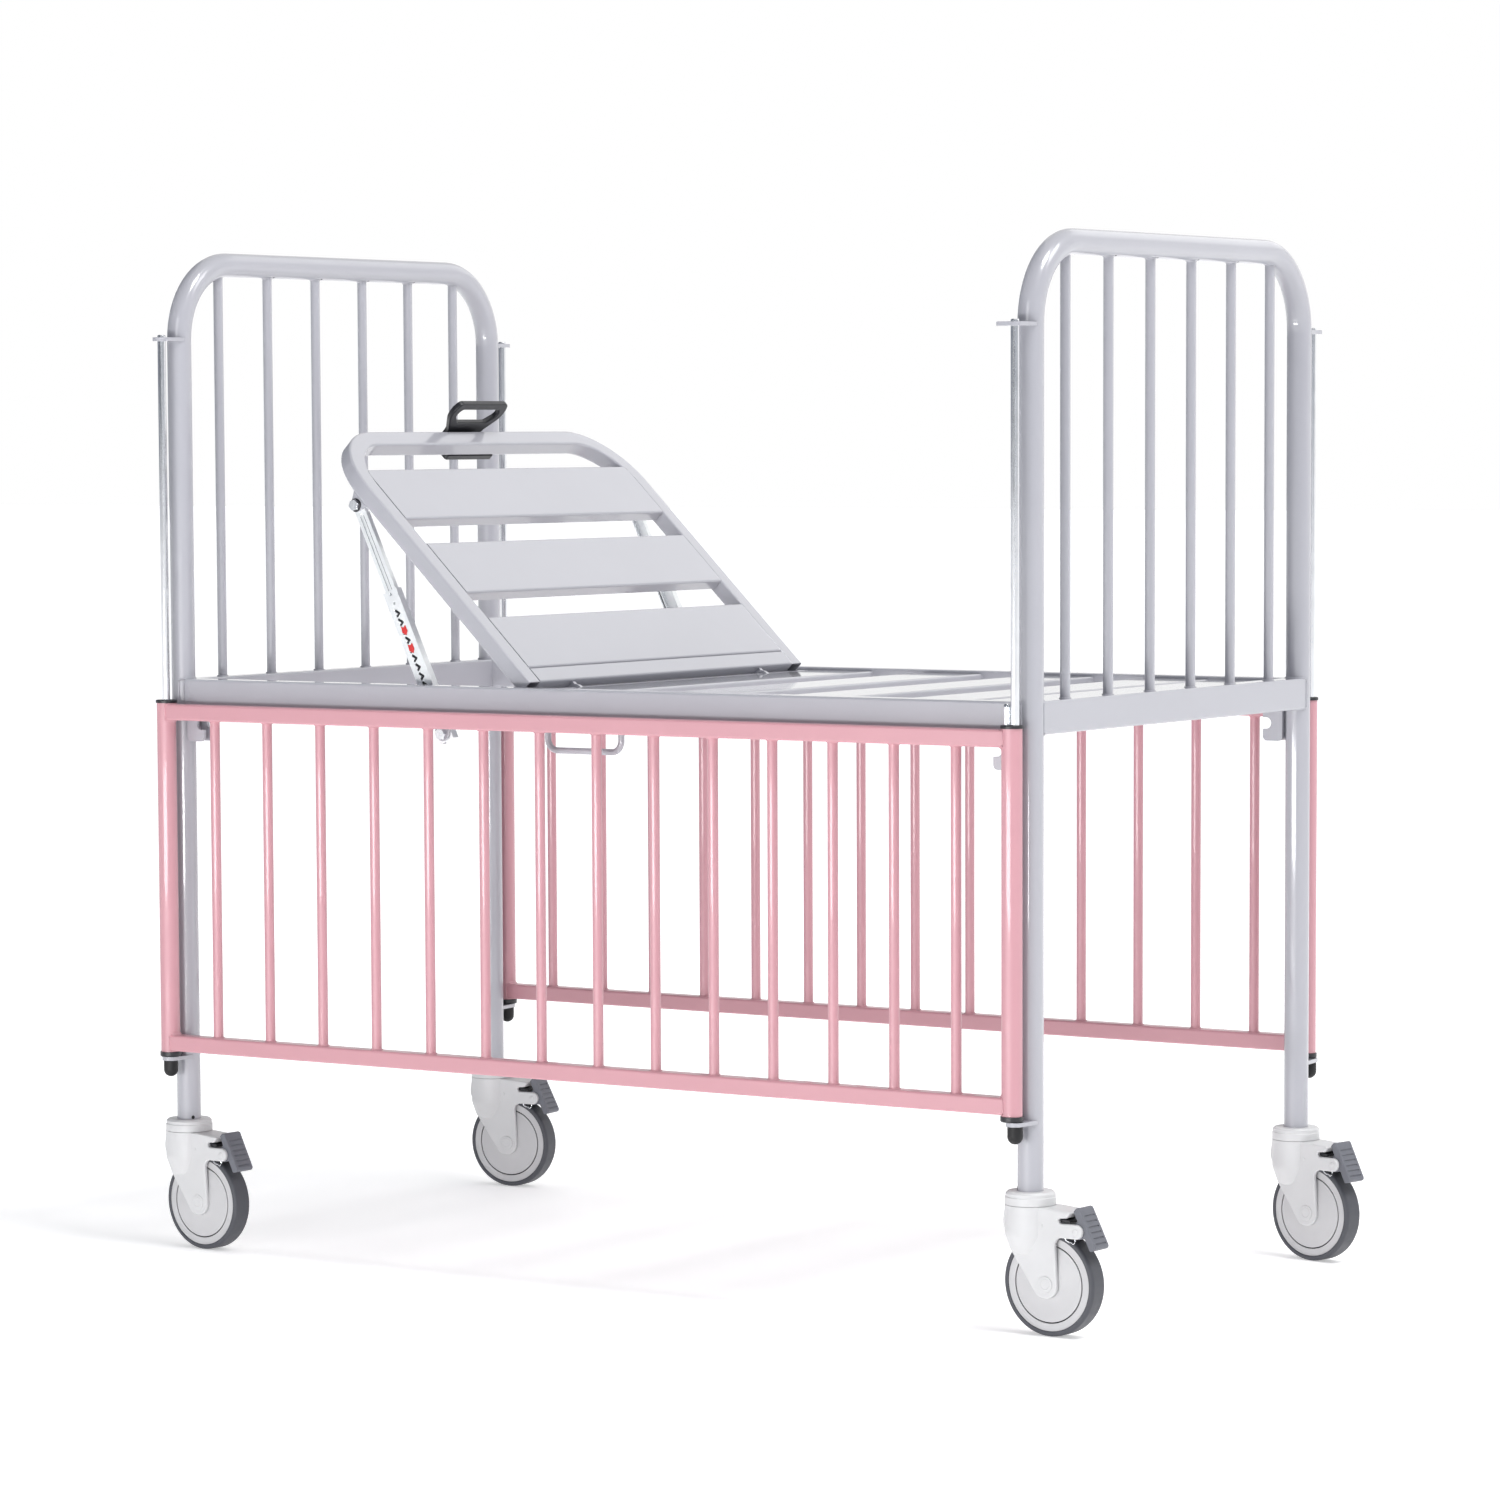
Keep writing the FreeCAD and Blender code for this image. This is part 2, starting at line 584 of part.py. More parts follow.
# ---------------------------------------------------------------- guide rods and their tabs
def tab(x, z0):
    """Plate from a near post out to its guide rod, tapering round the rod."""
    post = V(x, -POST_Y, z0)
    outer = V(x, -ROD_Y, z0)
    span = ROD_Y - POST_Y
    lean = (TAB_POST_R - TAB_ROD_R) / span
    along = math.sqrt(1 - lean * lean)
    outline = [(x - TAB_POST_R * along, -POST_Y - TAB_POST_R * lean),
               (x - TAB_ROD_R * along, -ROD_Y - TAB_ROD_R * lean),
               (x + TAB_ROD_R * along, -ROD_Y - TAB_ROD_R * lean),
               (x + TAB_POST_R * along, -POST_Y - TAB_POST_R * lean)]
    plate = profile_xy(outline, z0, z0 + TAB_T)
    plate = plate.fuse(rod(TAB_ROD_R, outer, outer + V(0, 0, TAB_T)))
    plate = plate.cut(rod(POST_R, post, post + V(0, 0, TAB_T)))
    return plate.cut(rod(ROD_D / 2, outer, outer + V(0, 0, TAB_T))).removeSplitter()


def latch_tab():
    """Wider upper tab at the foot end, with a second hole that the latch pin enters."""
    x0, x1 = LATCH_X - LATCH_TAB_MARGIN, POST_X + LATCH_TAB_MARGIN
    y0 = -ROD_Y - TAB_ROD_R
    z0, z1 = TOP_TAB_Z, TOP_TAB_Z + TAB_T
    outline = [(POST_X - TAB_POST_R, -POST_Y), (x0, -ROD_Y + TAB_ROD_R), (x0, y0), (x1, y0),
               (x1, -ROD_Y + TAB_ROD_R), (POST_X + TAB_POST_R, -POST_Y)]
    plate = profile_xy(outline, z0, z1)
    plate = fillet_edges(plate, LATCH_TAB_CORNER_R,
                         lambda e: runs_along(e, Z_AXIS) and e.CenterOfMass.y < y0 + 0.01)
    for x, y, r in ((POST_X, -POST_Y, POST_R), (POST_X, -ROD_Y, ROD_D / 2),
                    (LATCH_X, -ROD_Y, LATCH_D / 2 + LATCH_HOLE_GAP)):
        plate = plate.cut(rod(r, V(x, y, z0), V(x, y, z1)))
    return plate


def rod_tabs():
    pieces = near_and_far(tab(-POST_X, TOP_TAB_Z)) + near_and_far(latch_tab())
    for side in (-1, 1):
        pieces += near_and_far(tab(side * POST_X, LOW_TAB_TOP_Z - TAB_T))
    return pieces


def guide_rods():
    low = LOW_TAB_TOP_Z - TAB_T - NUT_H
    pieces = []
    for side in (-1, 1):
        bar = rod(ROD_D / 2, V(side * POST_X, -ROD_Y, low), V(side * POST_X, -ROD_Y, ROD_TOP_Z))
        pieces += near_and_far(bar.makeChamfer(ROD_CHAMFER, ring_edges(bar, ROD_TOP_Z)))
    return pieces


def rod_nuts():
    """Nuts under the lower tabs, inside the rubber bumpers."""
    top = LOW_TAB_TOP_Z - TAB_T
    pieces = []
    for side in (-1, 1):
        x = side * POST_X
        nut = hexagon(NUT_AF, V(x, -ROD_Y, top - NUT_H), V(x, -ROD_Y, top))
        pieces += near_and_far(nut.cut(rod(ROD_D / 2, V(x, -ROD_Y, top - NUT_H), V(x, -ROD_Y, top))))
    return pieces


def bumper(x):
    """Domed rubber cap over a guide rod's nut."""
    r = BUMPER_D / 2
    top = LOW_TAB_TOP_Z - TAB_T
    shoulder = top - BUMPER_H + r
    start = V(r, 0, top)
    edges = [Part.LineSegment(V(BUMPER_WALL_R, 0, top), start).toShape(),
             Part.LineSegment(start, V(r, 0, shoulder)).toShape(),
             Part.Arc(V(r, 0, shoulder), V(r * math.sqrt(0.5), 0, shoulder - r * math.sqrt(0.5)),
                      V(0, 0, shoulder - r)).toShape(),
             Part.LineSegment(V(0, 0, shoulder - r), V(0, 0, top - NUT_H)).toShape(),
             Part.LineSegment(V(0, 0, top - NUT_H), V(BUMPER_WALL_R, 0, top - NUT_H)).toShape(),
             Part.LineSegment(V(BUMPER_WALL_R, 0, top - NUT_H), V(BUMPER_WALL_R, 0, top)).toShape()]
    face = Part.Face(Part.Wire(edges))
    return face.revolve(V(0, 0, 0), Z_AXIS, 360).translated(V(x, -ROD_Y, 0))


# ---------------------------------------------------------------- side rails
def rail_tube_x(side):
    return FOOT_TUBE_X if side > 0 else -POST_X


def rail_stiles():
    """The two upright tubes that slide over the guide rods."""
    pieces = []
    for side in (-1, 1):
        x = rail_tube_x(side)
        pieces.append(pipe(RAIL_TUBE_D / 2, RAIL_TUBE_WALL, V(x, -ROD_Y, RAIL_LOW_Z),
                           V(x, -ROD_Y, RAIL_HIGH_Z)))
    return pieces


def rail_beam(z0):
    """Rectangular tube between the upright tubes, coped to them."""
    x0, x1 = rail_tube_x(-1), rail_tube_x(1)
    half_w = RAIL_BEAM_W / 2
    beam = rectangular_tube(V(x0, -ROD_Y - half_w, z0), V(x1, -ROD_Y + half_w, z0 + RAIL_BEAM_H),
                            X_AXIS, RAIL_BEAM_WALL)
    for x in (x0, x1):
        beam = beam.cut(rod(RAIL_TUBE_R, V(x, -ROD_Y, z0), V(x, -ROD_Y, z0 + RAIL_BEAM_H)))
    return beam


def rail_bars():
    z0 = RAIL_LOW_BEAM_Z + RAIL_BEAM_H
    return [rod(RAIL_BAR_D / 2, V(x, -ROD_Y, z0), V(x, -ROD_Y, RAIL_TOP_BEAM_Z))
            for x in bar_positions(RAIL_BAR_COUNT, RAIL_BAR_PITCH)]


def rail_bush(side, upper):
    """Flanged plastic bush in the end of an upright tube, bored for the guide rod."""
    x = rail_tube_x(side)
    tube_end = RAIL_HIGH_Z if upper else RAIL_LOW_Z
    out = 1 if upper else -1
    flange_t = BUSH_TOP_T if upper else BUSH_LOW_T
    spigot_r = RAIL_TUBE_R - RAIL_TUBE_WALL - BUSH_FIT
    centre = V(x, -ROD_Y, tube_end)
    flange = rod(BUSH_D / 2, centre, centre + V(0, 0, out * flange_t))
    far_edge = tube_end + out * flange_t
    flange = flange.makeChamfer(BUSH_CHAMFER, ring_edges(flange, far_edge))
    bush = flange.fuse(rod(spigot_r, centre, centre - V(0, 0, out * BUSH_SPIGOT)))
    reach = BUSH_SPIGOT + BUSH_LOW_T
    low, high = V(side * POST_X, -ROD_Y, tube_end - reach), V(side * POST_X, -ROD_Y, tube_end + reach)
    bush = bush.cut(rod(ROD_D / 2 + ROD_FIT, low, high))
    if upper and side > 0:
        shift = V(LATCH_X - side * POST_X, 0, 0)
        bush = bush.cut(rod(LATCH_D / 2 + LATCH_FIT, low + shift, high + shift))
    return bush


def rail_bushes():
    return [rail_bush(side, upper) for side in (-1, 1) for upper in (True, False)]


def latch_pin():
    """Round-tipped release pin beside the guide rod at the foot end."""
    r = LATCH_D / 2
    low = V(LATCH_X, -ROD_Y, RAIL_HIGH_Z - LATCH_BELOW)
    high = V(LATCH_X, -ROD_Y, RAIL_HIGH_Z + BUSH_TOP_T + LATCH_RISE - r)
    return rod(r, low, high).fuse(Part.makeSphere(r, high)).removeSplitter()


# ---------------------------------------------------------------- backrest (built flat)
def along_back(along, y, below):
    """Point on the flat backrest: distance up from its lower end, and below its top face."""
    return V(BACK_LOW_X - along, y, BACK_TOP_Z - below)


def backrest_bow(shrink):
    """The rounded U of the backrest as a solid bar, drawn in on all four faces."""
    half = BACK_TUBE_W / 2
    mid = BACK_TUBE_T / 2
    y = BACK_HALF_W - half
    corners = [along_back(0, -y, mid), along_back(BACK_LEN - half, -y, mid),
               along_back(BACK_LEN - half, y, mid), along_back(0, y, mid)]
    path = rounded_path(corners, BACK_CORNER_R - half)
    w, t, r = half - shrink, mid - shrink, TUBE_CORNER_R - shrink
    section = rounded_outline([(-w, -t, r), (w, -t, r), (w, t, r), (-w, t, r)]).OuterWire
    section.rotate(V(0, 0, 0), Z_AXIS, 90)
    section.translate(corners[0])
    return sweep(path, section)


def backrest_frame():
    """Rounded U of rectangular tube, with a cross tube at the lower end."""
    bow = backrest_bow(0).cut(backrest_bow(BACK_TUBE_WALL))
    inner_y = BACK_HALF_W - BACK_TUBE_W
    low = along_back(BACK_TUBE_W, 0, BACK_TUBE_T)
    cross = rectangular_tube(V(low.x, -inner_y, low.z), V(BACK_LOW_X, inner_y, BACK_TOP_Z),
                             Y_AXIS, BACK_TUBE_WALL)
    return [bow, cross]


def backrest_slats():
    """Folded slats between the side tubes, coped to the bow where it bends."""
    inner_y = BACK_HALF_W - BACK_TUBE_W
    slat = folded_slat(BACK_SLAT_W, SLAT_DEPTH, SLAT_T, SLAT_BEND_R, 2 * inner_y)
    bow = backrest_bow(0)
    pieces = []
    for k in range(BACK_SLAT_COUNT):
        corner = along_back(BACK_SLAT_FIRST + k * BACK_SLAT_PITCH + BACK_SLAT_W, 0, 0)
        pieces.append(slat.translated(corner).cut(bow).Solids[0])
    return pieces


def pivot_lug(y):
    """Eye plate on the lower end of the backrest, turning on the pivot tube."""
    bore_r = PIVOT_TUBE_D / 2 + PIVOT_FIT
    eye_r = bore_r + PIVOT_LUG_WALL
    y0, y1 = y - PIVOT_LUG_T / 2, y + PIVOT_LUG_T / 2
    eye = rod(eye_r, V(PIVOT_X, y0, PIVOT_Z), V(PIVOT_X, y1, PIVOT_Z))
    half = BACK_TUBE_T / 2
    mid_z = BACK_TOP_Z - half
    neck = box(BACK_LOW_X, PIVOT_X, y0, y1, mid_z - half, mid_z + half - PIVOT_LUG_WALL)
    lug = eye.fuse(neck).cut(rod(bore_r, V(PIVOT_X, y0, PIVOT_Z), V(PIVOT_X, y1, PIVOT_Z)))
    keep_off = box(BACK_LOW_X - 2 * eye_r, BACK_LOW_X, y0, y1, PIVOT_Z - 2 * eye_r, BACK_TOP_Z)
    return lug.cut(keep_off).removeSplitter()


def stay_ear():
    """Plate under the backrest's side tube that holds a stay's upper bolt."""
    eye = along_back(STAY_HEAD_ALONG, 0, STAY_HEAD_BELOW)
    y0, y1 = -STAY_EAR_Y - LUG_T, -STAY_EAR_Y
    top_z = BACK_TOP_Z - BACK_TUBE_T
    foot_half = LUG_R + EAR_FLARE
    outline = [(eye.x - foot_half, top_z), (eye.x + foot_half, top_z),
               (eye.x + LUG_R, eye.z), (eye.x - LUG_R, eye.z)]
    plate = profile_xz(outline, y0, y1)
    plate = plate.fuse(rod(LUG_R, V(eye.x, y0, eye.z), V(eye.x, y1, eye.z)))
    bolt_r = STAY_BOLT_D / 2
    return plate.cut(rod(bolt_r, V(eye.x, y0, eye.z), V(eye.x, y1, eye.z))).removeSplitter()


def stay_head_bolt():
    """Bolt and nut through the ear, on which the stay's inner rail turns."""
    eye = along_back(STAY_HEAD_ALONG, 0, STAY_HEAD_BELOW)
    face = -STAY_EAR_Y - LUG_T
    inside = -STAY_INNER_WEB_Y + STAY_SHEET + SIDE_GAP
    end = inside + STAY_HEX_H
    head = hexagon(STAY_HEX, V(eye.x, face - STAY_HEX_H, eye.z), V(eye.x, face, eye.z))
    shank = rod(STAY_BOLT_D / 2, V(eye.x, face, eye.z), V(eye.x, end, eye.z))
    nut = hexagon(STAY_HEX, V(eye.x, inside, eye.z), V(eye.x, end, eye.z))
    return head.fuse(shank).fuse(nut).removeSplitter()


def grip_profile(half_outline, first):
    """Both halves of a symmetric outline, as corners from one lower end round to the other."""
    right = list(first) + [(y, BACK_TOP_Z + rise, radius) for y, rise, radius in half_outline]
    left = [(-y, z, radius) for y, z, radius in reversed(right)]
    return right + left


def grip():
    """Plastic handle: a plate under the top tube and an upright loop outside it."""
    foot_z = BACK_TOP_Z - BACK_TUBE_T - GRIP_PLATE_T
    edge_x = along_back(BACK_LEN - BACK_TUBE_W - GRIP_PLATE_OVER, 0, 0).x
    loop_in = along_back(BACK_LEN + GRIP_STAND_OFF, 0, 0).x
    plate = box(loop_in - GRIP_T / 2, edge_x, -GRIP_PLATE_HALF_W, GRIP_PLATE_HALF_W,
                foot_z, foot_z + GRIP_PLATE_T)
    plate = fillet_edges(plate, GRIP_PLATE_T / 2, lambda e: runs_along(e, Z_AXIS))
    foot = [(GRIP_OUTLINE[0][0], foot_z, GRIP_EDGE_R * 1.5)]
    loop = slab(grip_profile(GRIP_OUTLINE, foot), GRIP_T / 2)
    loop = loop.cut(slab(grip_profile(GRIP_OPENING, []), GRIP_T / 2))
    loop = soften(loop, GRIP_T / 2, GRIP_EDGE_R)
    loop.rotate(V(0, 0, 0), Z_AXIS, 90)
    return plate.fuse(loop.translated(V(loop_in - GRIP_T / 2, 0, 0))).removeSplitter()


# ---------------------------------------------------------------- ratchet stays
def stay_head_at_rest():
    """Upper pivot of the stays with the backrest raised."""
    flat = along_back(STAY_HEAD_ALONG, 0, STAY_HEAD_BELOW) - PIVOT
    turn = FreeCAD.Rotation(Y_AXIS, BACKREST_ANGLE)
    return PIVOT + turn.multVec(flat)


def stay_line():
    """Length of a stay at rest, and its angle above +X in degrees."""
    line = stay_head_at_rest() - STAY_FOOT
    return line.Length, math.degrees(math.atan2(line.z, line.x))


def lay_on_stay(shape):
    """Move a piece built along +X from the lower pivot onto the near stay's line."""
    placed = shape.translated(STAY_FOOT)
    placed.rotate(STAY_FOOT, Y_AXIS, -stay_line()[1])
    return placed


def channel(x0, x1, width, depth, web_y):
    """Folded channel along +X with its web towards the near side."""
    outer = box(x0, x1, -web_y, -web_y + depth, -width / 2, width / 2)
    inner = box(x0, x1, -web_y + STAY_SHEET, -web_y + depth,
                -width / 2 + STAY_SHEET, width / 2 - STAY_SHEET)
    return outer.cut(inner)


def slot_leg(start, end, depth):
    """Round-ended slot between two points of the web, cut to a depth along +Y."""
    radius = TOOTH_W / 2
    middle = rod(radius, start, start + V(0, depth, 0)).fuse(rod(radius, end, end + V(0, depth, 0)))
    run = end - start
    bar = box(0, run.Length, 0, depth, -radius, radius)
    bar.rotate(V(0, 0, 0), Y_AXIS, -math.degrees(math.atan2(run.z, run.x)))
    return middle.fuse(bar.translated(start))


def tooth_slot(x):
    """Hooked slot through the outer web, one notch of the ratchet."""
    half_l = (TOOTH_LEN - TOOTH_W) / 2
    half_d = (TOOTH_DEPTH - TOOTH_W) / 2
    y0 = -STAY_WEB_Y - SIDE_GAP
    depth = STAY_SHEET + 2 * SIDE_GAP
    top = V(x + half_l, y0, half_d)
    knee = V(x - TOOTH_KNEE, y0, -half_d)
    foot = V(x - half_l, y0, half_d)
    return slot_leg(top, knee, depth).fuse(slot_leg(knee, foot, depth)).removeSplitter()


def stay_outer():
    """Near outer channel, with its row of slanted slots and the nut at its foot."""
    rail = channel(-STAY_OUTER_TAIL, STAY_OUTER_LEN, STAY_OUTER_W, STAY_OUTER_DEPTH, STAY_WEB_Y)
    y0, y1 = -STAY_WEB_Y, -STAY_WEB_Y + STAY_SHEET
    holes_at = [STAY_OUTER_LEN - inset for inset in STAY_HOLES_FROM_END]
    cuts = [tooth_slot(TOOTH_FIRST + k * TOOTH_PITCH) for k in range(TOOTH_COUNT)]
    cuts += [rod(STAY_HOLE_R, V(x, y0, 0), V(x, y1, 0)) for x in holes_at]
    web_in = -STAY_WEB_Y + STAY_SHEET
    nut = hexagon(STAY_HEX, V(0, web_in, 0), V(0, web_in + STAY_HEX_H, 0))
    return lay_on_stay(rail.cut(Part.makeCompound(cuts)).fuse(nut).removeSplitter())


def pawl_window(x, grow):
    """Space that a pawl fills in the inner web."""
    half_l, half_w = PAWL_L / 2, PAWL_W / 2
    y0 = -STAY_INNER_WEB_Y - grow
    return profile_xz([(x - half_l, -half_w), (x + half_l, -half_w * PAWL_TAPER),
                       (x + half_l, half_w), (x - half_l, half_w * PAWL_TAPER)],
                      y0, -STAY_INNER_WEB_Y + STAY_SHEET)


def stay_inner():
    """Near inner rail: a channel whose web runs on to a round eye at the upper pivot."""
    length = stay_line()[0]
    body_end = length - STAY_EYE_REACH
    rail = channel(STAY_INNER_START, body_end, STAY_INNER_W, STAY_INNER_DEPTH, STAY_INNER_WEB_Y)
    y0, y1 = -STAY_INNER_WEB_Y, -STAY_INNER_WEB_Y + STAY_SHEET
    half = STAY_INNER_W / 2
    tongue = box(body_end, length, y0, y1, -half, half)
    tongue = tongue.fuse(rod(half, V(length, y0, 0), V(length, y1, 0)))
    rail = rail.fuse(tongue)
    cuts = [pawl_window(STAY_INNER_START + x, 0.0) for x in PAWLS_AT]
    cuts.append(rod(STAY_BOLT_D / 2 + STAY_BOLT_FIT, V(length, y0, 0), V(length, y1, 0)))
    groove_from = STAY_INNER_START + max(PAWLS_AT) + STAY_GROOVE_ABOVE
    groove_half = STAY_GROOVE_W / 2
    cuts.append(box(groove_from, body_end, y0, y0 + STAY_GROOVE_DEPTH, -groove_half, groove_half))
    return lay_on_stay(rail.cut(Part.makeCompound(cuts)).removeSplitter())


def stay_pawls():
    """The two pawls, standing a little proud of the inner web."""
    return [lay_on_stay(pawl_window(STAY_INNER_START + x, STAY_SLIDE_GAP / 2)) for x in PAWLS_AT]


def stay_lug():
    """Angle bracket under the near side beam that holds a stay's lower bolt."""
    y0, y1 = -STAY_LUG_Y - LUG_T, -STAY_LUG_Y
    x, z = STAY_FOOT_X, STAY_FOOT_Z
    foot_half = LUG_R + LUG_FLARE
    foot = box(x - foot_half, x + foot_half, -POST_Y, y1, BEAM_LOW_Z - LUG_T, BEAM_LOW_Z)
    ear = profile_xz([(x - foot_half, BEAM_LOW_Z - LUG_T), (x - LUG_R, z), (x + LUG_R, z),
                      (x + foot_half, BEAM_LOW_Z - LUG_T)], y0, y1)
    ear = ear.fuse(rod(LUG_R, V(x, y0, z), V(x, y1, z)))
    lug = foot.fuse(ear).cut(rod(STAY_BOLT_D / 2, V(x, y0, z), V(x, y1, z)))
    return lug.removeSplitter()


def stay_foot_bolt():
    """Bolt in the lower lug: its head outside, its end flush with the lug's inner face."""
    x, z = STAY_FOOT_X, STAY_FOOT_Z
    face = -STAY_LUG_Y - LUG_T
    head = hexagon(STAY_HEX, V(x, face - STAY_HEX_H, z), V(x, face, z))
    return head.fuse(rod(STAY_BOLT_D / 2, V(x, face, z), V(x, -STAY_LUG_Y, z)))


# ---------------------------------------------------------------- casters (built at the origin)
def place_caster(shape, side_x, side_y, heading):
    placed = shape.copy()
    placed.rotate(V(0, 0, 0), Z_AXIS, heading)
    return placed.translated(V(side_x * POST_X, side_y * POST_Y, 0))


def turned(corners):
    """Solid of revolution about the swivel axis, from a closed (radius, z, rounding) outline."""
    return rounded_outline(corners).revolve(V(0, 0, 0), Z_AXIS, 360)


def on_axle(corners):
    """Solid of revolution about the wheel's axle, from a closed (radius, y, rounding) outline."""
    ring = turned(corners)
    ring.rotate(V(0, 0, 0), X_AXIS, -90)
    return ring.translated(V(TRAIL, 0, WHEEL_R))


def mirrored_outline(half_outline):
    """An outline given on its +Y side only, closed by the same corners on the other side."""
    return half_outline + [(r, -y, rounding) for r, y, rounding in reversed(half_outline)]


def caster_stem():
    """Collar under a post, with a plug up into the tube and a journal down into the housing."""
    step_z = POST_FOOT_Z - COLLAR_STEP_H
    upper_r = COLLAR_R - COLLAR_STEP
    collar = turned([(0, COLLAR_LOW_Z, 0), (COLLAR_R, COLLAR_LOW_Z, 0), (COLLAR_R, step_z, 0),
                     (upper_r, step_z + COLLAR_STEP, 0), (upper_r, POST_FOOT_Z - COLLAR_CHAMFER, 0),
                     (upper_r - COLLAR_CHAMFER, POST_FOOT_Z, 0), (0, POST_FOOT_Z, 0)])
    plug_r = POST_R - POST_WALL - PLUG_FIT
    plug = rod(plug_r, V(0, 0, POST_FOOT_Z), V(0, 0, POST_FOOT_Z + PLUG_H))
    journal = rod(STEM_R, V(0, 0, STEM_LOW_Z), V(0, 0, COLLAR_LOW_Z))
    return collar.fuse(plug).fuse(journal)


def prong_corner(back, up, radius):
    """Corner of the prong, given from the pedal's pin."""
    return (PEDAL_PIVOT_X - back, PEDAL_PIVOT_Z + up, radius)


def fork_side():
    """Side outline of the fork: back, round lower end, leg, pedal arm and the prong above it."""
    low = WHEEL_R - FORK_HUB_R
    lobe_r = FORK_HUB_R - FORK_EDGE_R / 2 - 2 * NEARLY
    arm_r = PEDAL_ARM_R - NEARLY
    arm_low, arm_high = PEDAL_PIVOT_Z - PEDAL_ARM_R, PEDAL_PIVOT_Z + PEDAL_ARM_R
    tip = PEDAL_PIVOT_X + PEDAL_ARM_R
    return [(FORK_NAPE_LEAN - FORK_NAPE_X, FORK_TOP_Z, 0),
            (-FORK_NAPE_X, FORK_TOP_Z - FORK_NAPE_BELOW, FORK_NAPE_R),
            (-FORK_BACK_X, WHEEL_R + FORK_BACK_ABOVE, FORK_BACK_R),
            (TRAIL - FORK_LOBE_BACK, low, lobe_r), (TRAIL + FORK_HUB_R, low, lobe_r),
            (TRAIL + FORK_LEG_W, arm_low, FORK_LEG_R), (tip, arm_low, arm_r), (tip, arm_high, arm_r),
            (PEDAL_PIVOT_X - PRONG_ARM_BACK, arm_high, PRONG_ARM_R), prong_corner(*PRONG_ROOT),
            prong_corner(*PRONG_UNDER), prong_corner(*PRONG_NOSE), (COLLAR_R, FORK_TOP_Z, PRONG_BROW_R)]


def caster_housing():
    """Moulded fork: two cheeks with rounded edges that grow from a round head, and the wheel's slot."""
    form = slab(fork_side(), FORK_OUT_Y)
    outline = [e for e in form.Edges if abs(abs(e.CenterOfMass.y) - FORK_OUT_Y) < 0.01
               and e.BoundBox.YLength < 0.01 and e.CenterOfMass.z < FORK_TOP_Z - NEARLY]
    form = form.makeFillet(FORK_EDGE_R, outline)
    head_low = FORK_TOP_Z - HEAD_DEPTH
    head = turned([(0, FORK_TOP_Z, 0), (COLLAR_R, FORK_TOP_Z, 0),
                   (COLLAR_R, FORK_TOP_Z - HEAD_WAIST, HEAD_WAIST_R),
                   (HEAD_LOW_R, head_low, HEAD_EDGE_R), (0, head_low, 0)])
    form = form.fuse(head)
    reach = PEDAL_PIVOT_X + PEDAL_ARM_R + 1
    slot_r = WHEEL_R + FORK_WHEEL_CLEAR
    cuts = [rod(slot_r, V(TRAIL, -FORK_IN_Y, WHEEL_R), V(TRAIL, FORK_IN_Y, WHEEL_R)),
            box(TRAIL + FORK_LEG_W, reach, -FORK_IN_Y, FORK_IN_Y, 0, PEDAL_PIVOT_Z + PRONG_ROOT[1]),
            rod(AXLE_D / 2, V(TRAIL, -COLLAR_R, WHEEL_R), V(TRAIL, COLLAR_R, WHEEL_R)),
            rod(PEDAL_PIN_R + PEDAL_FIT, V(PEDAL_PIVOT_X, -COLLAR_R, PEDAL_PIVOT_Z),
                V(PEDAL_PIVOT_X, COLLAR_R, PEDAL_PIVOT_Z)),
            rod(STEM_R + STEM_FIT, V(0, 0, STEM_LOW_Z - STEM_END_GAP), V(0, 0, FORK_TOP_Z))]
    for cut in cuts:
        form = form.cut(cut)
    return form.removeSplitter()


def caster_axle():
    """Axle fixed in the fork, with a round cap on each cheek."""
    shaft = on_axle([(0, -FORK_OUT_Y, 0), (AXLE_D / 2, -FORK_OUT_Y, 0), (AXLE_D / 2, FORK_OUT_Y, 0),
                     (0, FORK_OUT_Y, 0)])
    inner, outer = FORK_OUT_Y, FORK_OUT_Y + AXLE_CAP_T
    cap = on_axle([(0, inner, 0), (AXLE_CAP_R, inner, 0), (AXLE_CAP_R, outer - AXLE_CAP_CHAMFER, 0),
                   (AXLE_CAP_R - AXLE_CAP_CHAMFER, outer, 0), (0, outer, 0)])
    return shaft.fuse(cap).fuse(mirror_y(cap)).removeSplitter()


def wheel_rim():
    """Wheel centre: a slightly coned disc, a deep narrow groove near its edge and a wider hub."""
    bore = AXLE_D / 2 + AXLE_FIT
    half = RIM_W / 2
    g0, g1 = RIM_GROOVE_R - RIM_GROOVE_W / 2, RIM_GROOVE_R + RIM_GROOVE_W / 2
    floor = half - RIM_GROOVE_DEPTH
    half_outline = [(bore, HUB_W / 2, 0), (HUB_R, HUB_W / 2, 0), (g0, half, 0), (g0, floor, 0),
                    (g1, floor, 0), (g1, half, 0), (WHEEL_R - TYRE_T, half, 0)]
    return on_axle(mirrored_outline(half_outline))


def wheel_tyre():
    """Tyre with rounded shoulders, on the rim."""
    half = TYRE_W / 2
    half_outline = [(WHEEL_R - TYRE_T, half, RIM_EDGE_R), (WHEEL_R, half, TYRE_SHOULDER_R)]
    return on_axle(mirrored_outline(half_outline))


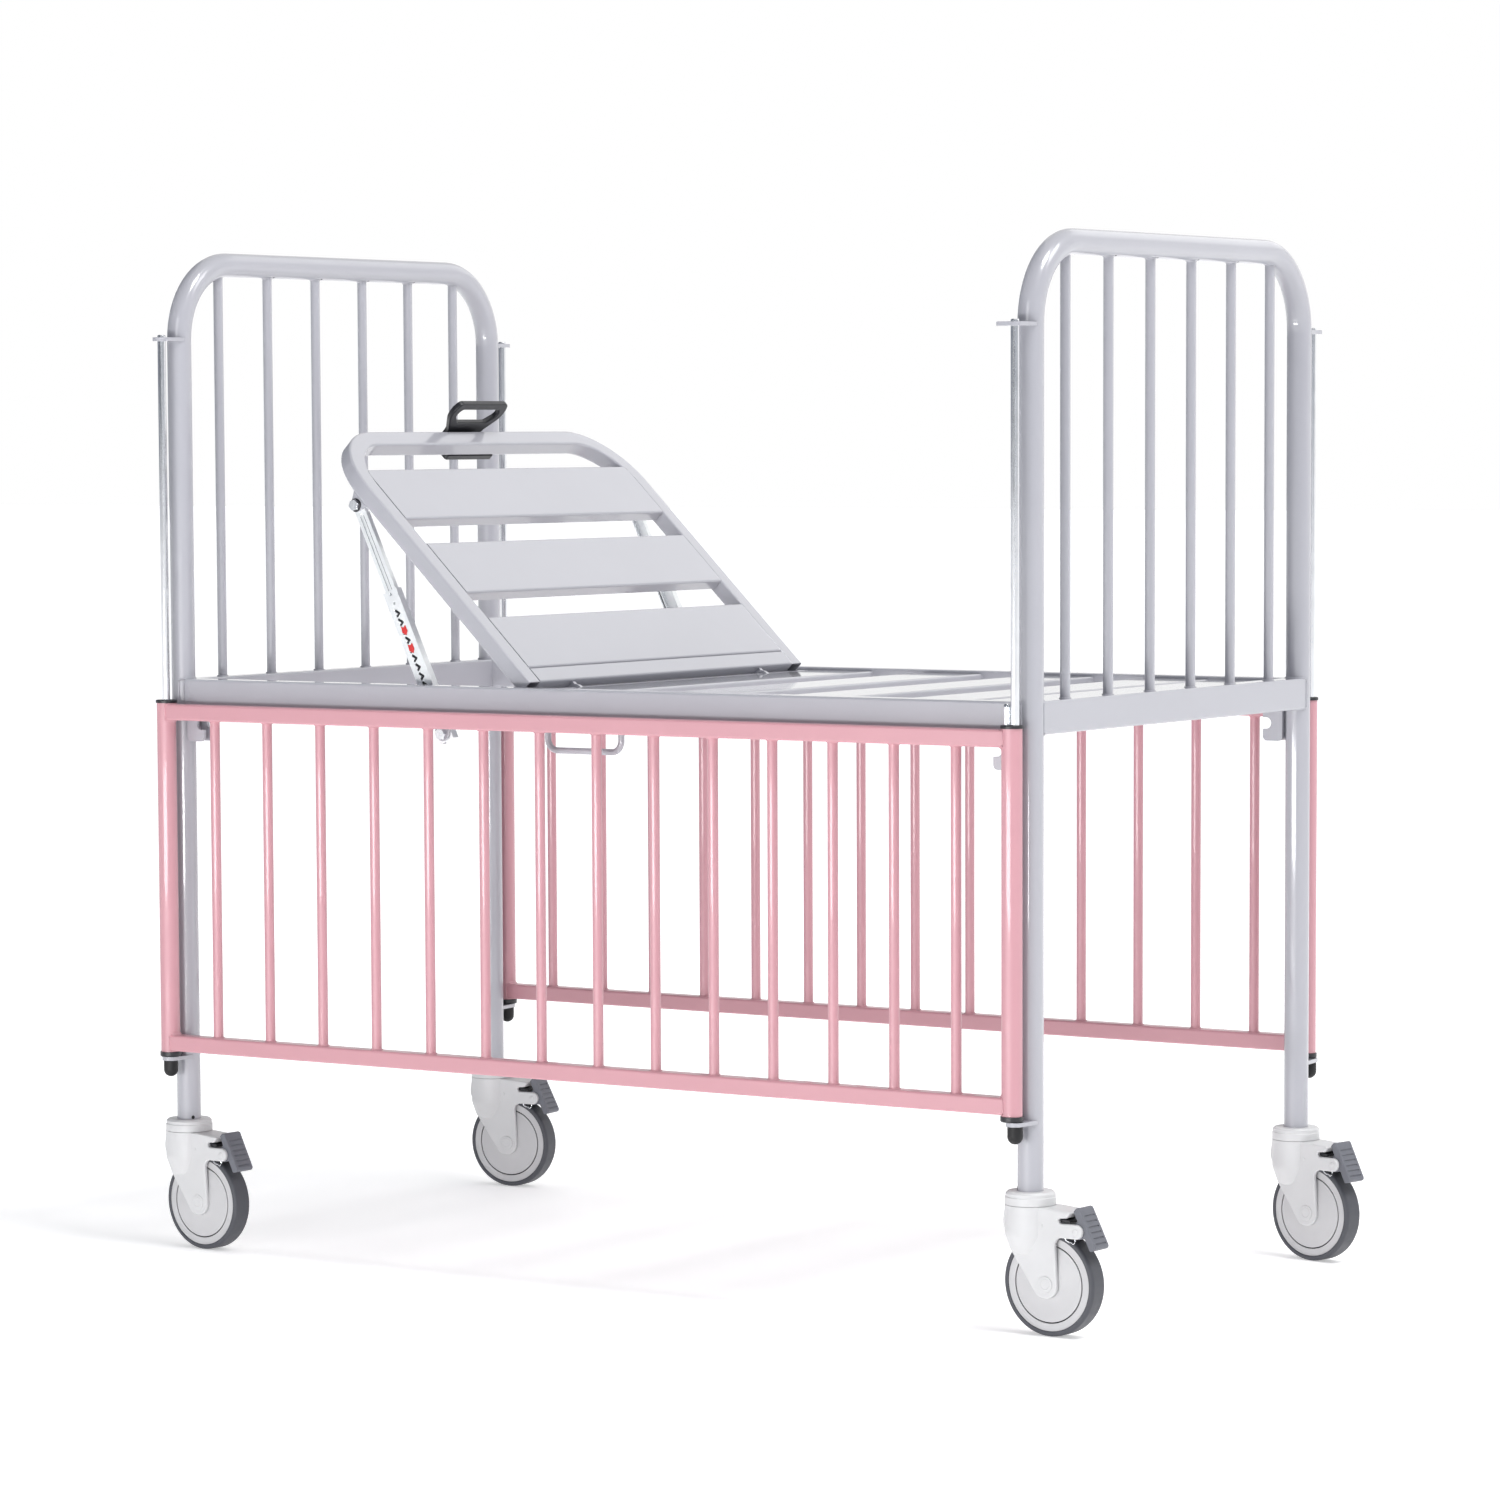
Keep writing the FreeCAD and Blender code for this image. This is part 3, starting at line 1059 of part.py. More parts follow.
def caster_pedal():
    """Brake pedal: a rounded ribbed block on a tongue between the housing's arms, with its pin.

    Built with its pin on the Y axis and its tread facing +Z, then tilted into place.
    """
    back = PEDAL_FACE - PEDAL_T
    half = FORK_IN_Y - PEDAL_SIDE_GAP
    r = PEDAL_CORNER_R
    tongue = PEDAL_TONGUE_R
    form = slab([(-PEDAL_UP, PEDAL_FACE, r), (-PEDAL_UP + r, back, r / 2),
                 (-PEDAL_TONGUE_ROOT, back, r / 2), (-tongue, -tongue, tongue - NEARLY),
                 (tongue, -tongue, tongue - NEARLY), (PEDAL_TONGUE_ROOT, back, r / 2),
                 (PEDAL_DOWN - r / 2, back, r / 2), (PEDAL_DOWN, PEDAL_FACE, r)], half)
    form = soften(form, half, PEDAL_EDGE_R)
    rib_half = half - PEDAL_RIB_INSET
    first = PEDAL_DOWN - r - PEDAL_RIB_PITCH / 2
    for k in range(PEDAL_RIB_COUNT):
        x = first - k * PEDAL_RIB_PITCH
        form = form.cut(rod(PEDAL_RIB_R, V(x, -rib_half, PEDAL_FACE), V(x, rib_half, PEDAL_FACE)))
    form = form.fuse(rod(PEDAL_PIN_R, V(0, -FORK_OUT_Y, 0), V(0, FORK_OUT_Y, 0))).removeSplitter()
    form.rotate(V(0, 0, 0), Y_AXIS, 90 - PEDAL_TILT)
    return form.translated(V(PEDAL_PIVOT_X, 0, PEDAL_PIVOT_Z))


# ---------------------------------------------------------------- the nodes
def frame_nodes():
    stems = [place_caster(caster_stem(), side_x, side_y, 0.0) for _, side_x, side_y, _ in CASTERS]
    return {
        "head_hoop": [hoop(-1)],
        "foot_hoop": [hoop(1)],
        "end_bars": end_bar_solids(-1) + end_bar_solids(1),
        "end_rails": [end_rail(-1), end_rail(1)],
        "side_beams": near_and_far(side_beam()),
        "beam_saddles": saddles(),
        "platform_slats": platform_slats(),
        "backrest_pivot_tube": [pivot_tube()],
        "corner_hooks": corner_hooks(),
        "wire_loops": near_and_far(wire_loop()),
        "rod_tabs": rod_tabs(),
        "guide_rods": guide_rods(),
        "rod_nuts": rod_nuts(),
        "rod_bumpers": near_and_far(bumper(-POST_X)) + near_and_far(bumper(POST_X)),
        "stay_lugs": near_and_far(stay_lug()),
        "stay_foot_bolts": near_and_far(stay_foot_bolt()),
        "caster_stems": stems,
    }


def side_rail_nodes():
    near = {
        "rail_beams": [rail_beam(RAIL_TOP_BEAM_Z), rail_beam(RAIL_LOW_BEAM_Z)],
        "rail_stiles": rail_stiles(),
        "rail_bars": rail_bars(),
        "rail_bushes": rail_bushes(),
        "latch_pin": [latch_pin()],
    }
    return on_both_sides(near)


def backrest_nodes():
    flat = {
        "backrest_frame": backrest_frame(),
        "backrest_slats": backrest_slats(),
        "backrest_brackets": near_and_far(pivot_lug(-PIVOT_LUG_Y)) + near_and_far(stay_ear()),
        "backrest_stay_bolts": near_and_far(stay_head_bolt()),
        "backrest_grip": [grip()],
    }
    return {name: [raise_backrest(solid) for solid in solids] for name, solids in flat.items()}


def stay_nodes():
    near = {
        "stay_channel": [stay_outer()],
        "stay_inner_rail": [stay_inner()],
        "stay_pawls": stay_pawls(),
    }
    return on_both_sides(near)


def caster_nodes():
    pieces = {
        "housing": caster_housing(),
        "axle": caster_axle(),
        "rim": wheel_rim(),
        "tyre": wheel_tyre(),
        "pedal": caster_pedal(),
    }
    nodes = {}
    for place, side_x, side_y, heading in CASTERS:
        for name, shape in pieces.items():
            nodes["caster_" + place + "_" + name] = [place_caster(shape, side_x, side_y, heading)]
    return nodes


def on_both_sides(near):
    nodes = {}
    for name, solids in near.items():
        nodes["near_" + name] = solids
        nodes["far_" + name] = [mirror_y(solid) for solid in solids]
    return nodes


def all_nodes():
    """Every node's solids, with the origin moved to the middle of the cot's box."""
    nodes = {}
    for group in (frame_nodes(), side_rail_nodes(), backrest_nodes(), stay_nodes(), caster_nodes()):
        nodes.update(group)
    box_x = [solid.optimalBoundingBox(False) for solids in nodes.values() for solid in solids]
    middle = (min(b.XMin for b in box_x) + max(b.XMax for b in box_x)) / 2
    return {name: [solid.translated(V(-middle, 0, 0)) for solid in solids]
            for name, solids in nodes.items()}


def main():
    os.makedirs("parts", exist_ok=True)
    for name, solids in all_nodes().items():
        shape = solids[0] if len(solids) == 1 else Part.makeCompound(solids)
        shape.exportStep("parts/" + name + ".step")


main()
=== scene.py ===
"""Looks of the hospital cot: enamelled steel, zinc, moulded plastic, on a pale studio floor."""
import bpy
import bmesh
import json
import math
from mathutils import Matrix, Vector


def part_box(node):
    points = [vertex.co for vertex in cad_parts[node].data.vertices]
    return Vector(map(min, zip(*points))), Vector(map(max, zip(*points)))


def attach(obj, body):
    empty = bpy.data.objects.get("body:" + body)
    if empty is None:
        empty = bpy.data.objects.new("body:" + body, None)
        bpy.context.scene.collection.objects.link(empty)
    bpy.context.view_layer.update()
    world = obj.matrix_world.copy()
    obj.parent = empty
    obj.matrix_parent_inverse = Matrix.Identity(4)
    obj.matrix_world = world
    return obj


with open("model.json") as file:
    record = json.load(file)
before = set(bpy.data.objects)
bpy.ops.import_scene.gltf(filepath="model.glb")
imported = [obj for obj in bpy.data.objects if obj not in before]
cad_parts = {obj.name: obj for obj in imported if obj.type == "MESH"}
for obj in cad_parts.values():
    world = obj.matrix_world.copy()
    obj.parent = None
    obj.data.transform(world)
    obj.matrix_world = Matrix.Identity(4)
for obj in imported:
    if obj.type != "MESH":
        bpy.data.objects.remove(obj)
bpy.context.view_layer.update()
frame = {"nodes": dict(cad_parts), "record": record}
NODES = frame["nodes"]
RECORD = frame["record"]
scene = bpy.context.scene


# ------------------------------------------------------------------ materials
BEVEL_SAMPLES = 4
PAINT_EDGE_R, ZINC_EDGE_R, PLASTIC_EDGE_R = 0.0008, 0.0004, 0.0005
PAINT_IOR = 1.5
PAINT_COAT_ROUGHNESS, PLASTIC_COAT_ROUGHNESS = 0.05, 0.1


def new_material(name):
    mat = bpy.data.materials.new(name)
    mat.use_nodes = True
    tree = mat.node_tree
    tree.nodes.clear()
    out = tree.nodes.new("ShaderNodeOutputMaterial")
    shader = tree.nodes.new("ShaderNodeBsdfPrincipled")
    tree.links.new(shader.outputs["BSDF"], out.inputs["Surface"])
    return mat, tree, shader


def noise(tree, scale, detail=4.0, roughness=0.5, stretch=None):
    """Noise over the object's own coordinates, in features per metre."""
    coords = tree.nodes.new("ShaderNodeTexCoord")
    tex = tree.nodes.new("ShaderNodeTexNoise")
    tex.inputs["Scale"].default_value = scale
    tex.inputs["Detail"].default_value = detail
    tex.inputs["Roughness"].default_value = roughness
    source = coords.outputs["Object"]
    if stretch:
        mapping = tree.nodes.new("ShaderNodeMapping")
        mapping.inputs["Scale"].default_value = stretch
        tree.links.new(source, mapping.inputs["Vector"])
        source = mapping.outputs["Vector"]
    tree.links.new(source, tex.inputs["Vector"])
    return tex.outputs["Fac"]


def ramp(tree, source, stops):
    """Colour ramp from (position, colour) stops."""
    node = tree.nodes.new("ShaderNodeValToRGB")
    while len(node.color_ramp.elements) < len(stops):
        node.color_ramp.elements.new(0.5)
    for element, (position, colour) in zip(node.color_ramp.elements, stops):
        element.position = position
        element.color = (*colour, 1.0)
    tree.links.new(source, node.inputs["Fac"])
    return node.outputs["Color"]


def grey(value):
    return (value, value, value)


def shade(colour, factor):
    return tuple(min(1.0, c * factor) for c in colour)


def bump(tree, shader, source, strength, distance, chained=None):
    node = tree.nodes.new("ShaderNodeBump")
    node.inputs["Strength"].default_value = strength
    node.inputs["Distance"].default_value = distance
    tree.links.new(source, node.inputs["Height"])
    if chained is not None:
        tree.links.new(chained, node.inputs["Normal"])
    tree.links.new(node.outputs["Normal"], shader.inputs["Normal"])
    return node.outputs["Normal"]


def edge_round(tree, radius):
    """Normal that rounds off hard edges a little, as paint and moulding do."""
    node = tree.nodes.new("ShaderNodeBevel")
    node.samples = BEVEL_SAMPLES
    node.inputs["Radius"].default_value = radius
    return node.outputs["Normal"]


def powder_paint(name, colour, roughness, coat):
    """Baked gloss enamel: faint orange peel, slow tone changes, a clear top layer."""
    mat, tree, shader = new_material(name)
    link = tree.links.new
    tone = noise(tree, 5.0, 3.0)
    link(ramp(tree, tone, [(0.3, shade(colour, 0.985)), (0.7, shade(colour, 1.015))]),
         shader.inputs["Base Color"])
    patches = noise(tree, 30.0, 4.0)
    link(ramp(tree, patches, [(0.3, grey(roughness * 0.92)), (0.75, grey(roughness * 1.1))]),
         shader.inputs["Roughness"])
    edges = edge_round(tree, PAINT_EDGE_R)
    slow = bump(tree, shader, noise(tree, 55.0, 2.0), 0.05, 0.0006, edges)
    bump(tree, shader, noise(tree, 650.0, 2.0), 0.05, 0.00012, slow)
    shader.inputs["Coat Weight"].default_value = coat
    shader.inputs["Coat Roughness"].default_value = PAINT_COAT_ROUGHNESS
    shader.inputs["IOR"].default_value = PAINT_IOR
    return mat


def bright_zinc(name, colour, roughness, stretch):
    """Bright zinc on drawn steel: fine lines along the bar under a faint bluish cloud."""
    mat, tree, shader = new_material(name)
    link = tree.links.new
    clouds = noise(tree, 45.0, 5.0, 0.6)
    link(ramp(tree, clouds, [(0.3, shade(colour, 0.93)), (0.7, shade(colour, 1.05))]),
         shader.inputs["Base Color"])
    lines = noise(tree, 420.0, 3.0, 0.6, stretch)
    link(ramp(tree, lines, [(0.3, grey(roughness * 0.8)), (0.7, grey(roughness * 1.25))]),
         shader.inputs["Roughness"])
    bump(tree, shader, lines, 0.06, 0.00012, edge_round(tree, ZINC_EDGE_R))
    shader.inputs["Metallic"].default_value = 1.0
    return mat


def moulded(name, colour, roughness, grain, strength, coat=0.0, spec=0.5):
    """Moulded plastic or rubber: fine grain, faint tone change and dust in the roughness."""
    mat, tree, shader = new_material(name)
    link = tree.links.new
    tone = noise(tree, 18.0, 4.0)
    link(ramp(tree, tone, [(0.3, shade(colour, 0.96)), (0.72, shade(colour, 1.03))]),
         shader.inputs["Base Color"])
    haze = noise(tree, 110.0, 4.0)
    link(ramp(tree, haze, [(0.3, grey(roughness * 0.9)), (0.75, grey(min(1.0, roughness * 1.15)))]),
         shader.inputs["Roughness"])
    edges = edge_round(tree, PLASTIC_EDGE_R)
    bump(tree, shader, noise(tree, grain, 3.0, 0.6), strength, 0.0003, edges)
    shader.inputs["Coat Weight"].default_value = coat
    shader.inputs["Coat Roughness"].default_value = PLASTIC_COAT_ROUGHNESS
    shader.inputs["Specular IOR Level"].default_value = spec
    return mat


LILAC = (0.392, 0.392, 0.43)
PINK = (0.56, 0.28, 0.318)
ALONG_Z, EVEN = (1.0, 1.0, 0.04), (1.0, 1.0, 1.0)
MATERIALS = {
    "lilac": powder_paint("enamel_lilac_grey", LILAC, 0.3, 0.9),
    "pink": powder_paint("enamel_pink", PINK, 0.38, 0.35),
    "zinc": bright_zinc("bright_zinc", (0.86, 0.875, 0.90), 0.24, ALONG_Z),
    "black_plastic": moulded("black_plastic", (0.014, 0.014, 0.018), 0.34, 1400.0, 0.08),
    "black_rubber": moulded("black_rubber", (0.012, 0.012, 0.013), 0.5, 900.0, 0.12, 0.0, 0.35),
    "white_plastic": moulded("white_plastic", (0.61, 0.61, 0.616), 0.38, 1100.0, 0.05, 0.1),
    "grey_plastic": moulded("grey_plastic", (0.14, 0.145, 0.168), 0.5, 1500.0, 0.15),
    "rim_plastic": moulded("rim_plastic", (0.54, 0.536, 0.545), 0.36, 1100.0, 0.04, 0.1),
    "grey_tyre": moulded("grey_tyre", (0.072, 0.074, 0.086), 0.5, 700.0, 0.1, 0.0, 0.4),
    "red_plastic": moulded("red_plastic", (0.62, 0.02, 0.02), 0.35, 1100.0, 0.05, 0.2),
}


def paint(obj, slot_name):
    obj.data.materials.clear()
    obj.data.materials.append(MATERIALS[slot_name])


CAD_CREASE, PIECE_CREASE = 32.0, 40.0


def smooth(obj, angle):
    """Smooth shading that keeps the real edges sharp."""
    obj.data.shade_smooth()
    obj.data.set_sharp_from_angle(angle=math.radians(angle))


ROD_ZINC = bright_zinc("rod_zinc", (0.86, 0.87, 0.89), 0.13, ALONG_Z)
STAY_ZINC = bright_zinc("stay_zinc", (0.93, 0.95, 0.97), 0.38, EVEN)
SLOT_OF = {s["node"]: s["material_slot"] for s in RECORD["subparts"]}
for node_name, obj in NODES.items():
    paint(obj, SLOT_OF[node_name])
    smooth(obj, CAD_CREASE)
    if node_name.endswith("latch_pin") or node_name == "guide_rods":
        obj.data.materials[0] = ROD_ZINC
    if node_name.endswith(("stay_channel", "stay_inner_rail")):
        obj.data.materials[0] = STAY_ZINC


# ------------------------------------------------------------------ places
# In metres, from the middle of the bed.
def spread(count, pitch):
    """Places of a centred row."""
    return [(k - (count - 1) / 2) * pitch for k in range(count)]


foot_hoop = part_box("foot_hoop")
POST_X, POST_Y, POST_R = 0.647, 0.345, 0.015875
SHIFT_X = (foot_hoop[0].x + foot_hoop[1].x) / 2 - POST_X
BED_TOP_Z, BEAM_LOW_Z = 0.758, 0.718
BEAM_OUT_Y, BEAM_IN_Y = 0.360875, 0.330875
END_RAIL_HALF = 0.015
HOOP_TOP_Z = 1.304
END_BARS_Y = spread(6, 0.105)
END_BAR_R = 0.00625
ROD_Y = 0.3815
STILE_R = 0.0127
FOOT_TUBE_SHIFT = 0.0045      # foot-end upright tube, in from the post
RAIL_BAR_R = 0.0065
RAIL_BARS_X = spread(14, 0.087)
RAIL_BEAMS_Z = ((0.2665, 0.2875), (0.705, 0.726))
RAIL_BEAM_HALF = 0.011
TUBE_CORNER_R = 0.003
FORK_OUT_Y = 0.0205
WHEEL_R, TRAIL = 0.0635, 0.034
CASTERS = (("head_near", -1, -1, -5.0), ("head_far", -1, 1, 5.0),
           ("foot_near", 1, -1, -3.0), ("foot_far", 1, 1, -12.0))


def place(x, y, z):
    """A point measured from the middle of the bed, in the frame's own coordinates."""
    return Vector((x + SHIFT_X, y, z))


# ------------------------------------------------------------------ small pieces
STRAND_SIDES = 8
NEAR_VERTICAL = 0.95
RIPPLE_TURN = 2.2             # radians from one point of a strand to the next
NEARLY_ZERO = 1e-7
BAR_BEAD_R, HOOP_BEAD_R, TUBE_BEAD_R = 0.0013, 0.0012, 0.0016
BAR_BEAD_OUT, HOOP_BEAD_OUT, BEAM_BEAD_IN = 0.0003, 0.0004, 0.0006
END_BAR_RIPPLE, RIPPLE, RAIL_CORNER_RIPPLE = 0.12, 0.1, 0.06
FILLET_R, FILLET_SINK, FILLET_STEPS = 0.007, 0.0006, 7
FILLET_ROWS_Y = spread(9, 0.0021)


def new_piece(name, build, slot_name, body):
    """A mesh piece in its slot's material, riding on a body."""
    mesh = bpy.data.meshes.new(name)
    bm = bmesh.new()
    build(bm)
    bmesh.ops.recalc_face_normals(bm, faces=bm.faces)
    bm.to_mesh(mesh)
    bm.free()
    obj = bpy.data.objects.new(name, mesh)
    scene.collection.objects.link(obj)
    paint(obj, slot_name)
    smooth(obj, PIECE_CREASE)
    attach(obj, body)
    return obj


def strand(bm, points, radius, closed=False, ripple=0.0):
    """A round strand through points; ripple swells it in turn, like a weld's runs."""
    sides = STRAND_SIDES
    count = len(points)
    rings = []
    for k, point in enumerate(points):
        if closed:
            ahead = points[(k + 1) % count] - points[k - 1]
        else:
            ahead = points[min(k + 1, count - 1)] - points[max(k - 1, 0)]
        ahead.normalize()
        upright = abs(ahead.z) > NEAR_VERTICAL
        side = ahead.orthogonal() if upright else ahead.cross(Vector((0, 0, 1)))
        side.normalize()
        up = side.cross(ahead)
        r = radius * (1.0 + ripple * math.sin(RIPPLE_TURN * k))
        rings.append([bm.verts.new(point + r * (math.cos(a) * side + math.sin(a) * up))
                      for a in (2 * math.pi * j / sides for j in range(sides))])
    last = count if closed else count - 1
    for k in range(last):
        a, b = rings[k], rings[(k + 1) % count]
        for j in range(sides):
            i = (j + 1) % sides
            bm.faces.new((a[j], a[i], b[i], b[j]))
    if not closed:
        bm.faces.new(list(reversed(rings[0])))
        bm.faces.new(rings[-1])


def lathe(bm, profile, centre, axis, sides):
    """A turned form: (radius, height) pairs along an axis from a centre."""
    axis = axis.normalized()
    side = axis.orthogonal().normalized()
    up = axis.cross(side)
    rings = []
    for radius, height in profile:
        base = centre + axis * height
        if radius < NEARLY_ZERO:
            rings.append([bm.verts.new(base)])
        else:
            rings.append([bm.verts.new(base + radius * (math.cos(a) * side + math.sin(a) * up))
                          for a in (2 * math.pi * j / sides for j in range(sides))])
    for a, b in zip(rings, rings[1:]):
        for j in range(sides):
            i = (j + 1) % sides
            corners = [a[j % len(a)], a[i % len(a)], b[i % len(b)], b[j % len(b)]]
            unique = list(dict.fromkeys(corners))
            if len(unique) > 2:
                bm.faces.new(unique)


def ring_points(centre, radius, count=28):
    return [centre + Vector((radius * math.cos(a), radius * math.sin(a), 0.0))
            for a in (2 * math.pi * k / count for k in range(count))]


def rounded_rectangle(half_u, half_v, radius, steps=4, spacing=0.006):
    """(u, v) points round a rectangle with rounded corners."""
    corners = []
    for su, sv, start in ((1, 1, 0.0), (-1, 1, 90.0), (-1, -1, 180.0), (1, -1, 270.0)):
        for k in range(steps + 1):
            a = math.radians(start + 90.0 * k / steps)
            corners.append((su * (half_u - radius) + radius * math.cos(a),
                            sv * (half_v - radius) + radius * math.sin(a)))
    points = []
    for k, (u, v) in enumerate(corners):
        u1, v1 = corners[(k + 1) % len(corners)]
        parts = max(1, round(math.hypot(u1 - u, v1 - v) / spacing))
        points += [(u + (u1 - u) * j / parts, v + (v1 - v) * j / parts) for j in range(parts)]
    return points


def saddle(offset, radius):
    """How far a round tube's surface stands out, this far beside its axis."""
    return math.sqrt(max(radius * radius - offset * offset, 0.0))


def weld(bm, loop, radius, ripple):
    strand(bm, loop, radius, closed=True, ripple=ripple)


def end_frame_welds(bm):
    """Beads round the upright bars, the end rails and the side beams."""
    z_mid = (BED_TOP_Z + BEAM_LOW_Z) / 2
    z_half = (BED_TOP_Z - BEAM_LOW_Z) / 2
    y_mid = (BEAM_OUT_Y + BEAM_IN_Y) / 2
    y_half = (BEAM_OUT_Y - BEAM_IN_Y) / 2
    for side in (-1, 1):
        for y in END_BARS_Y:
            foot = ring_points(place(side * POST_X, y, BED_TOP_Z), END_BAR_R + BAR_BEAD_OUT)
            weld(bm, foot, BAR_BEAD_R, END_BAR_RIPPLE)
            top = []
            for point in ring_points(Vector((0, 0, 0)), END_BAR_R + HOOP_BEAD_OUT):
                drop = saddle(point.x, POST_R)
                top.append(place(side * POST_X + point.x, y + point.y, HOOP_TOP_Z - drop))
            weld(bm, top, HOOP_BEAD_R, END_BAR_RIPPLE)
        for side_y in (-1, 1):
            loop = [place(side * POST_X + u, side_y * (POST_Y - saddle(u, POST_R)), z_mid + v)
                    for u, v in rounded_rectangle(END_RAIL_HALF, z_half, TUBE_CORNER_R)]
            weld(bm, loop, TUBE_BEAD_R, RIPPLE)
            loop = [place(side * (POST_X - saddle(y_mid + u - POST_Y, POST_R)),
                          side_y * (y_mid + u), z_mid + v)
                    for u, v in rounded_rectangle(y_half - BEAM_BEAD_IN, z_half, TUBE_CORNER_R)]
            weld(bm, loop, TUBE_BEAD_R, RIPPLE)


def corner_fillet(bm, tube_x, out, side_y, z, up):
    """Smooth blend in the inner corner between a rail's beam and its upright tube."""
    profile = [(0.0, 0.0), (FILLET_R, 0.0)]
    for step in range(1, FILLET_STEPS):
        a = math.radians(90.0 * step / FILLET_STEPS)
        profile.append((FILLET_R - FILLET_R * math.sin(a), FILLET_R - FILLET_R * math.cos(a)))
    profile.append((0.0, FILLET_R))
    rows = []
    for y in FILLET_ROWS_Y:
        wall = tube_x + out * (saddle(y, STILE_R) - FILLET_SINK)
        rows.append([bm.verts.new(place(wall + out * u, side_y * ROD_Y + y,
                                        z + up * (v - FILLET_SINK)))
                     for u, v in profile])
    for a, b in zip(rows, rows[1:]):
        for j in range(len(a)):
            i = (j + 1) % len(a)
            bm.faces.new((a[j], a[i], b[i], b[j]))
    bm.faces.new(rows[0])
    bm.faces.new(list(reversed(rows[-1])))


def rail_welds(side_y):
    """Beads of one side rail: round its bars and where its beams meet the upright tubes."""
    def build(bm):
        for x in RAIL_BARS_X:
            for z in (RAIL_BEAMS_Z[0][1], RAIL_BEAMS_Z[1][0]):
                ring = ring_points(place(x, side_y * ROD_Y, z), RAIL_BAR_R + BAR_BEAD_OUT)
                weld(bm, ring, BAR_BEAD_R, RIPPLE)
        for low, high in RAIL_BEAMS_Z:
            z_mid, z_half = (low + high) / 2, (high - low) / 2
            corner_z, up = (low, -1) if (low, high) == RAIL_BEAMS_Z[1] else (high, 1)
            for tube_x, out in ((-POST_X, 1), (POST_X - FOOT_TUBE_SHIFT, -1)):
                loop = [place(tube_x + out * saddle(u, STILE_R), side_y * ROD_Y + u, z_mid + v)
                        for u, v in rounded_rectangle(RAIL_BEAM_HALF, z_half, TUBE_CORNER_R)]
                weld(bm, loop, BAR_BEAD_R, RAIL_CORNER_RIPPLE)
                corner_fillet(bm, tube_x, out, side_y, corner_z, up)
    return build


DRAIN_X, DRAIN_Y = 0.0064, 0.0062       # hoop's hole from the axis of its bar
POST_HOLE_Z, POST_HOLE_TOWARDS = 0.1745, (0.85, 0.53)
# Profiles of black discs painted as the shade inside the holes.
HOOP_HOLE = ((0.0, 0.00035), (0.0011, 0.0003), (0.0016, 0.0), (0.0014, -0.0006))
POST_HOLE = ((0.0, 0.0003), (0.0018, 0.0003), (0.0024, 0.0), (0.0022, -0.0006))


def drain_hole_shade(bm):
    """Black discs painted as the shade inside small drain holes in the hoops beside each bar, and
    at the foot of each post.
    """
    drop = saddle(DRAIN_X, POST_R)
    for side in (-1, 1):
        for y in END_BARS_Y:
            centre = place(side * POST_X + DRAIN_X, y + DRAIN_Y, HOOP_TOP_Z - drop)
            lathe(bm, HOOP_HOLE, centre, Vector((DRAIN_X, 0.0, -drop)).normalized(), 16)
        for side_y in (-1, 1):
            inward, outward = POST_HOLE_TOWARDS
            out = Vector((-side * inward, side_y * outward, 0.0)).normalized()
            centre = place(side * POST_X, side_y * POST_Y, POST_HOLE_Z) + out * POST_R
            lathe(bm, POST_HOLE, centre, out, 16)


new_piece("end_frame_weld_beads", end_frame_welds, "lilac", "frame")
new_piece("near_rail_weld_beads", rail_welds(-1), "pink", "near_rail")
new_piece("far_rail_weld_beads", rail_welds(1), "pink", "far_rail")
# Black discs: painted shade inside the drain holes.
new_piece("drain_hole_shade", drain_hole_shade, "black_rubber", "frame")


# ------------------------------------------------------------------ stays
BACK_ANGLE = math.radians(44.3)
PIVOT = (-0.102, 0.741)
STAY_FOOT = (-0.240, 0.694)
BACK_SIDE_GAP, STAY_WEB_INSET = 0.009375, 0.0043
STAY_WEB_Y = BEAM_IN_Y - BACK_SIDE_GAP - STAY_WEB_INSET     # outer face of the channel
STAY_SHEET, STAY_SLIDE_GAP, SIDE_GAP, LUG_T = 0.002, 0.0005, 0.0003, 0.004
INNER_RAIL_Y = STAY_WEB_Y - STAY_SHEET - STAY_SLIDE_GAP
BACK_LOW_X, BACK_TOP_Z = -0.1171, 0.7579
STAY_HEAD_ALONG, STAY_HEAD_BELOW = 0.354, 0.033
STAY_HEAD = (BACK_LOW_X - STAY_HEAD_ALONG, BACK_TOP_Z - STAY_HEAD_BELOW)
# Black strips behind the stay's slots: painted shade inside the channel.
SLOT_SHADE_RUNS = ((0.038, 0.1135), (0.1275, 0.1385), (0.1525, 0.178))
SLOT_SHADE_HALF, SLOT_SHADE_SINK, SLOT_SHADE_T = 0.0052, 0.00005, 0.00015
PAWL_SLOTS = (0.1202, 0.1456)
PAWL_SINK, PAWL_T, PAWL_EDGE_R = 0.0002, 0.0009, 0.0003
PAWL_OUTLINE = ((-0.0070, -0.0006), (-0.0016, 0.0042), (0.0074, 0.0030),
                (0.0040, -0.0002), (0.0066, -0.0042), (-0.0020, -0.0044))
# Grey strips on the stay's inner rail: painted shade of its pressed lines.
LINE_RUN = (0.185, 0.308)
LINE_OFFSET, LINE_HALF, LINE_T = 0.0027, 0.0003, 0.00012
WASHER = ((0.0076, -0.0002), (0.0088, -0.0002), (0.0088, 0.0010),
          (0.0084, 0.0013), (0.0070, 0.0013))


def raised(x, z):
    """A point of the flat backrest in its raised place."""
    dx, dz = x - PIVOT[0], z - PIVOT[1]
    return (PIVOT[0] + dx * math.cos(BACK_ANGLE) + dz * math.sin(BACK_ANGLE),
            PIVOT[1] - dx * math.sin(BACK_ANGLE) + dz * math.cos(BACK_ANGLE))


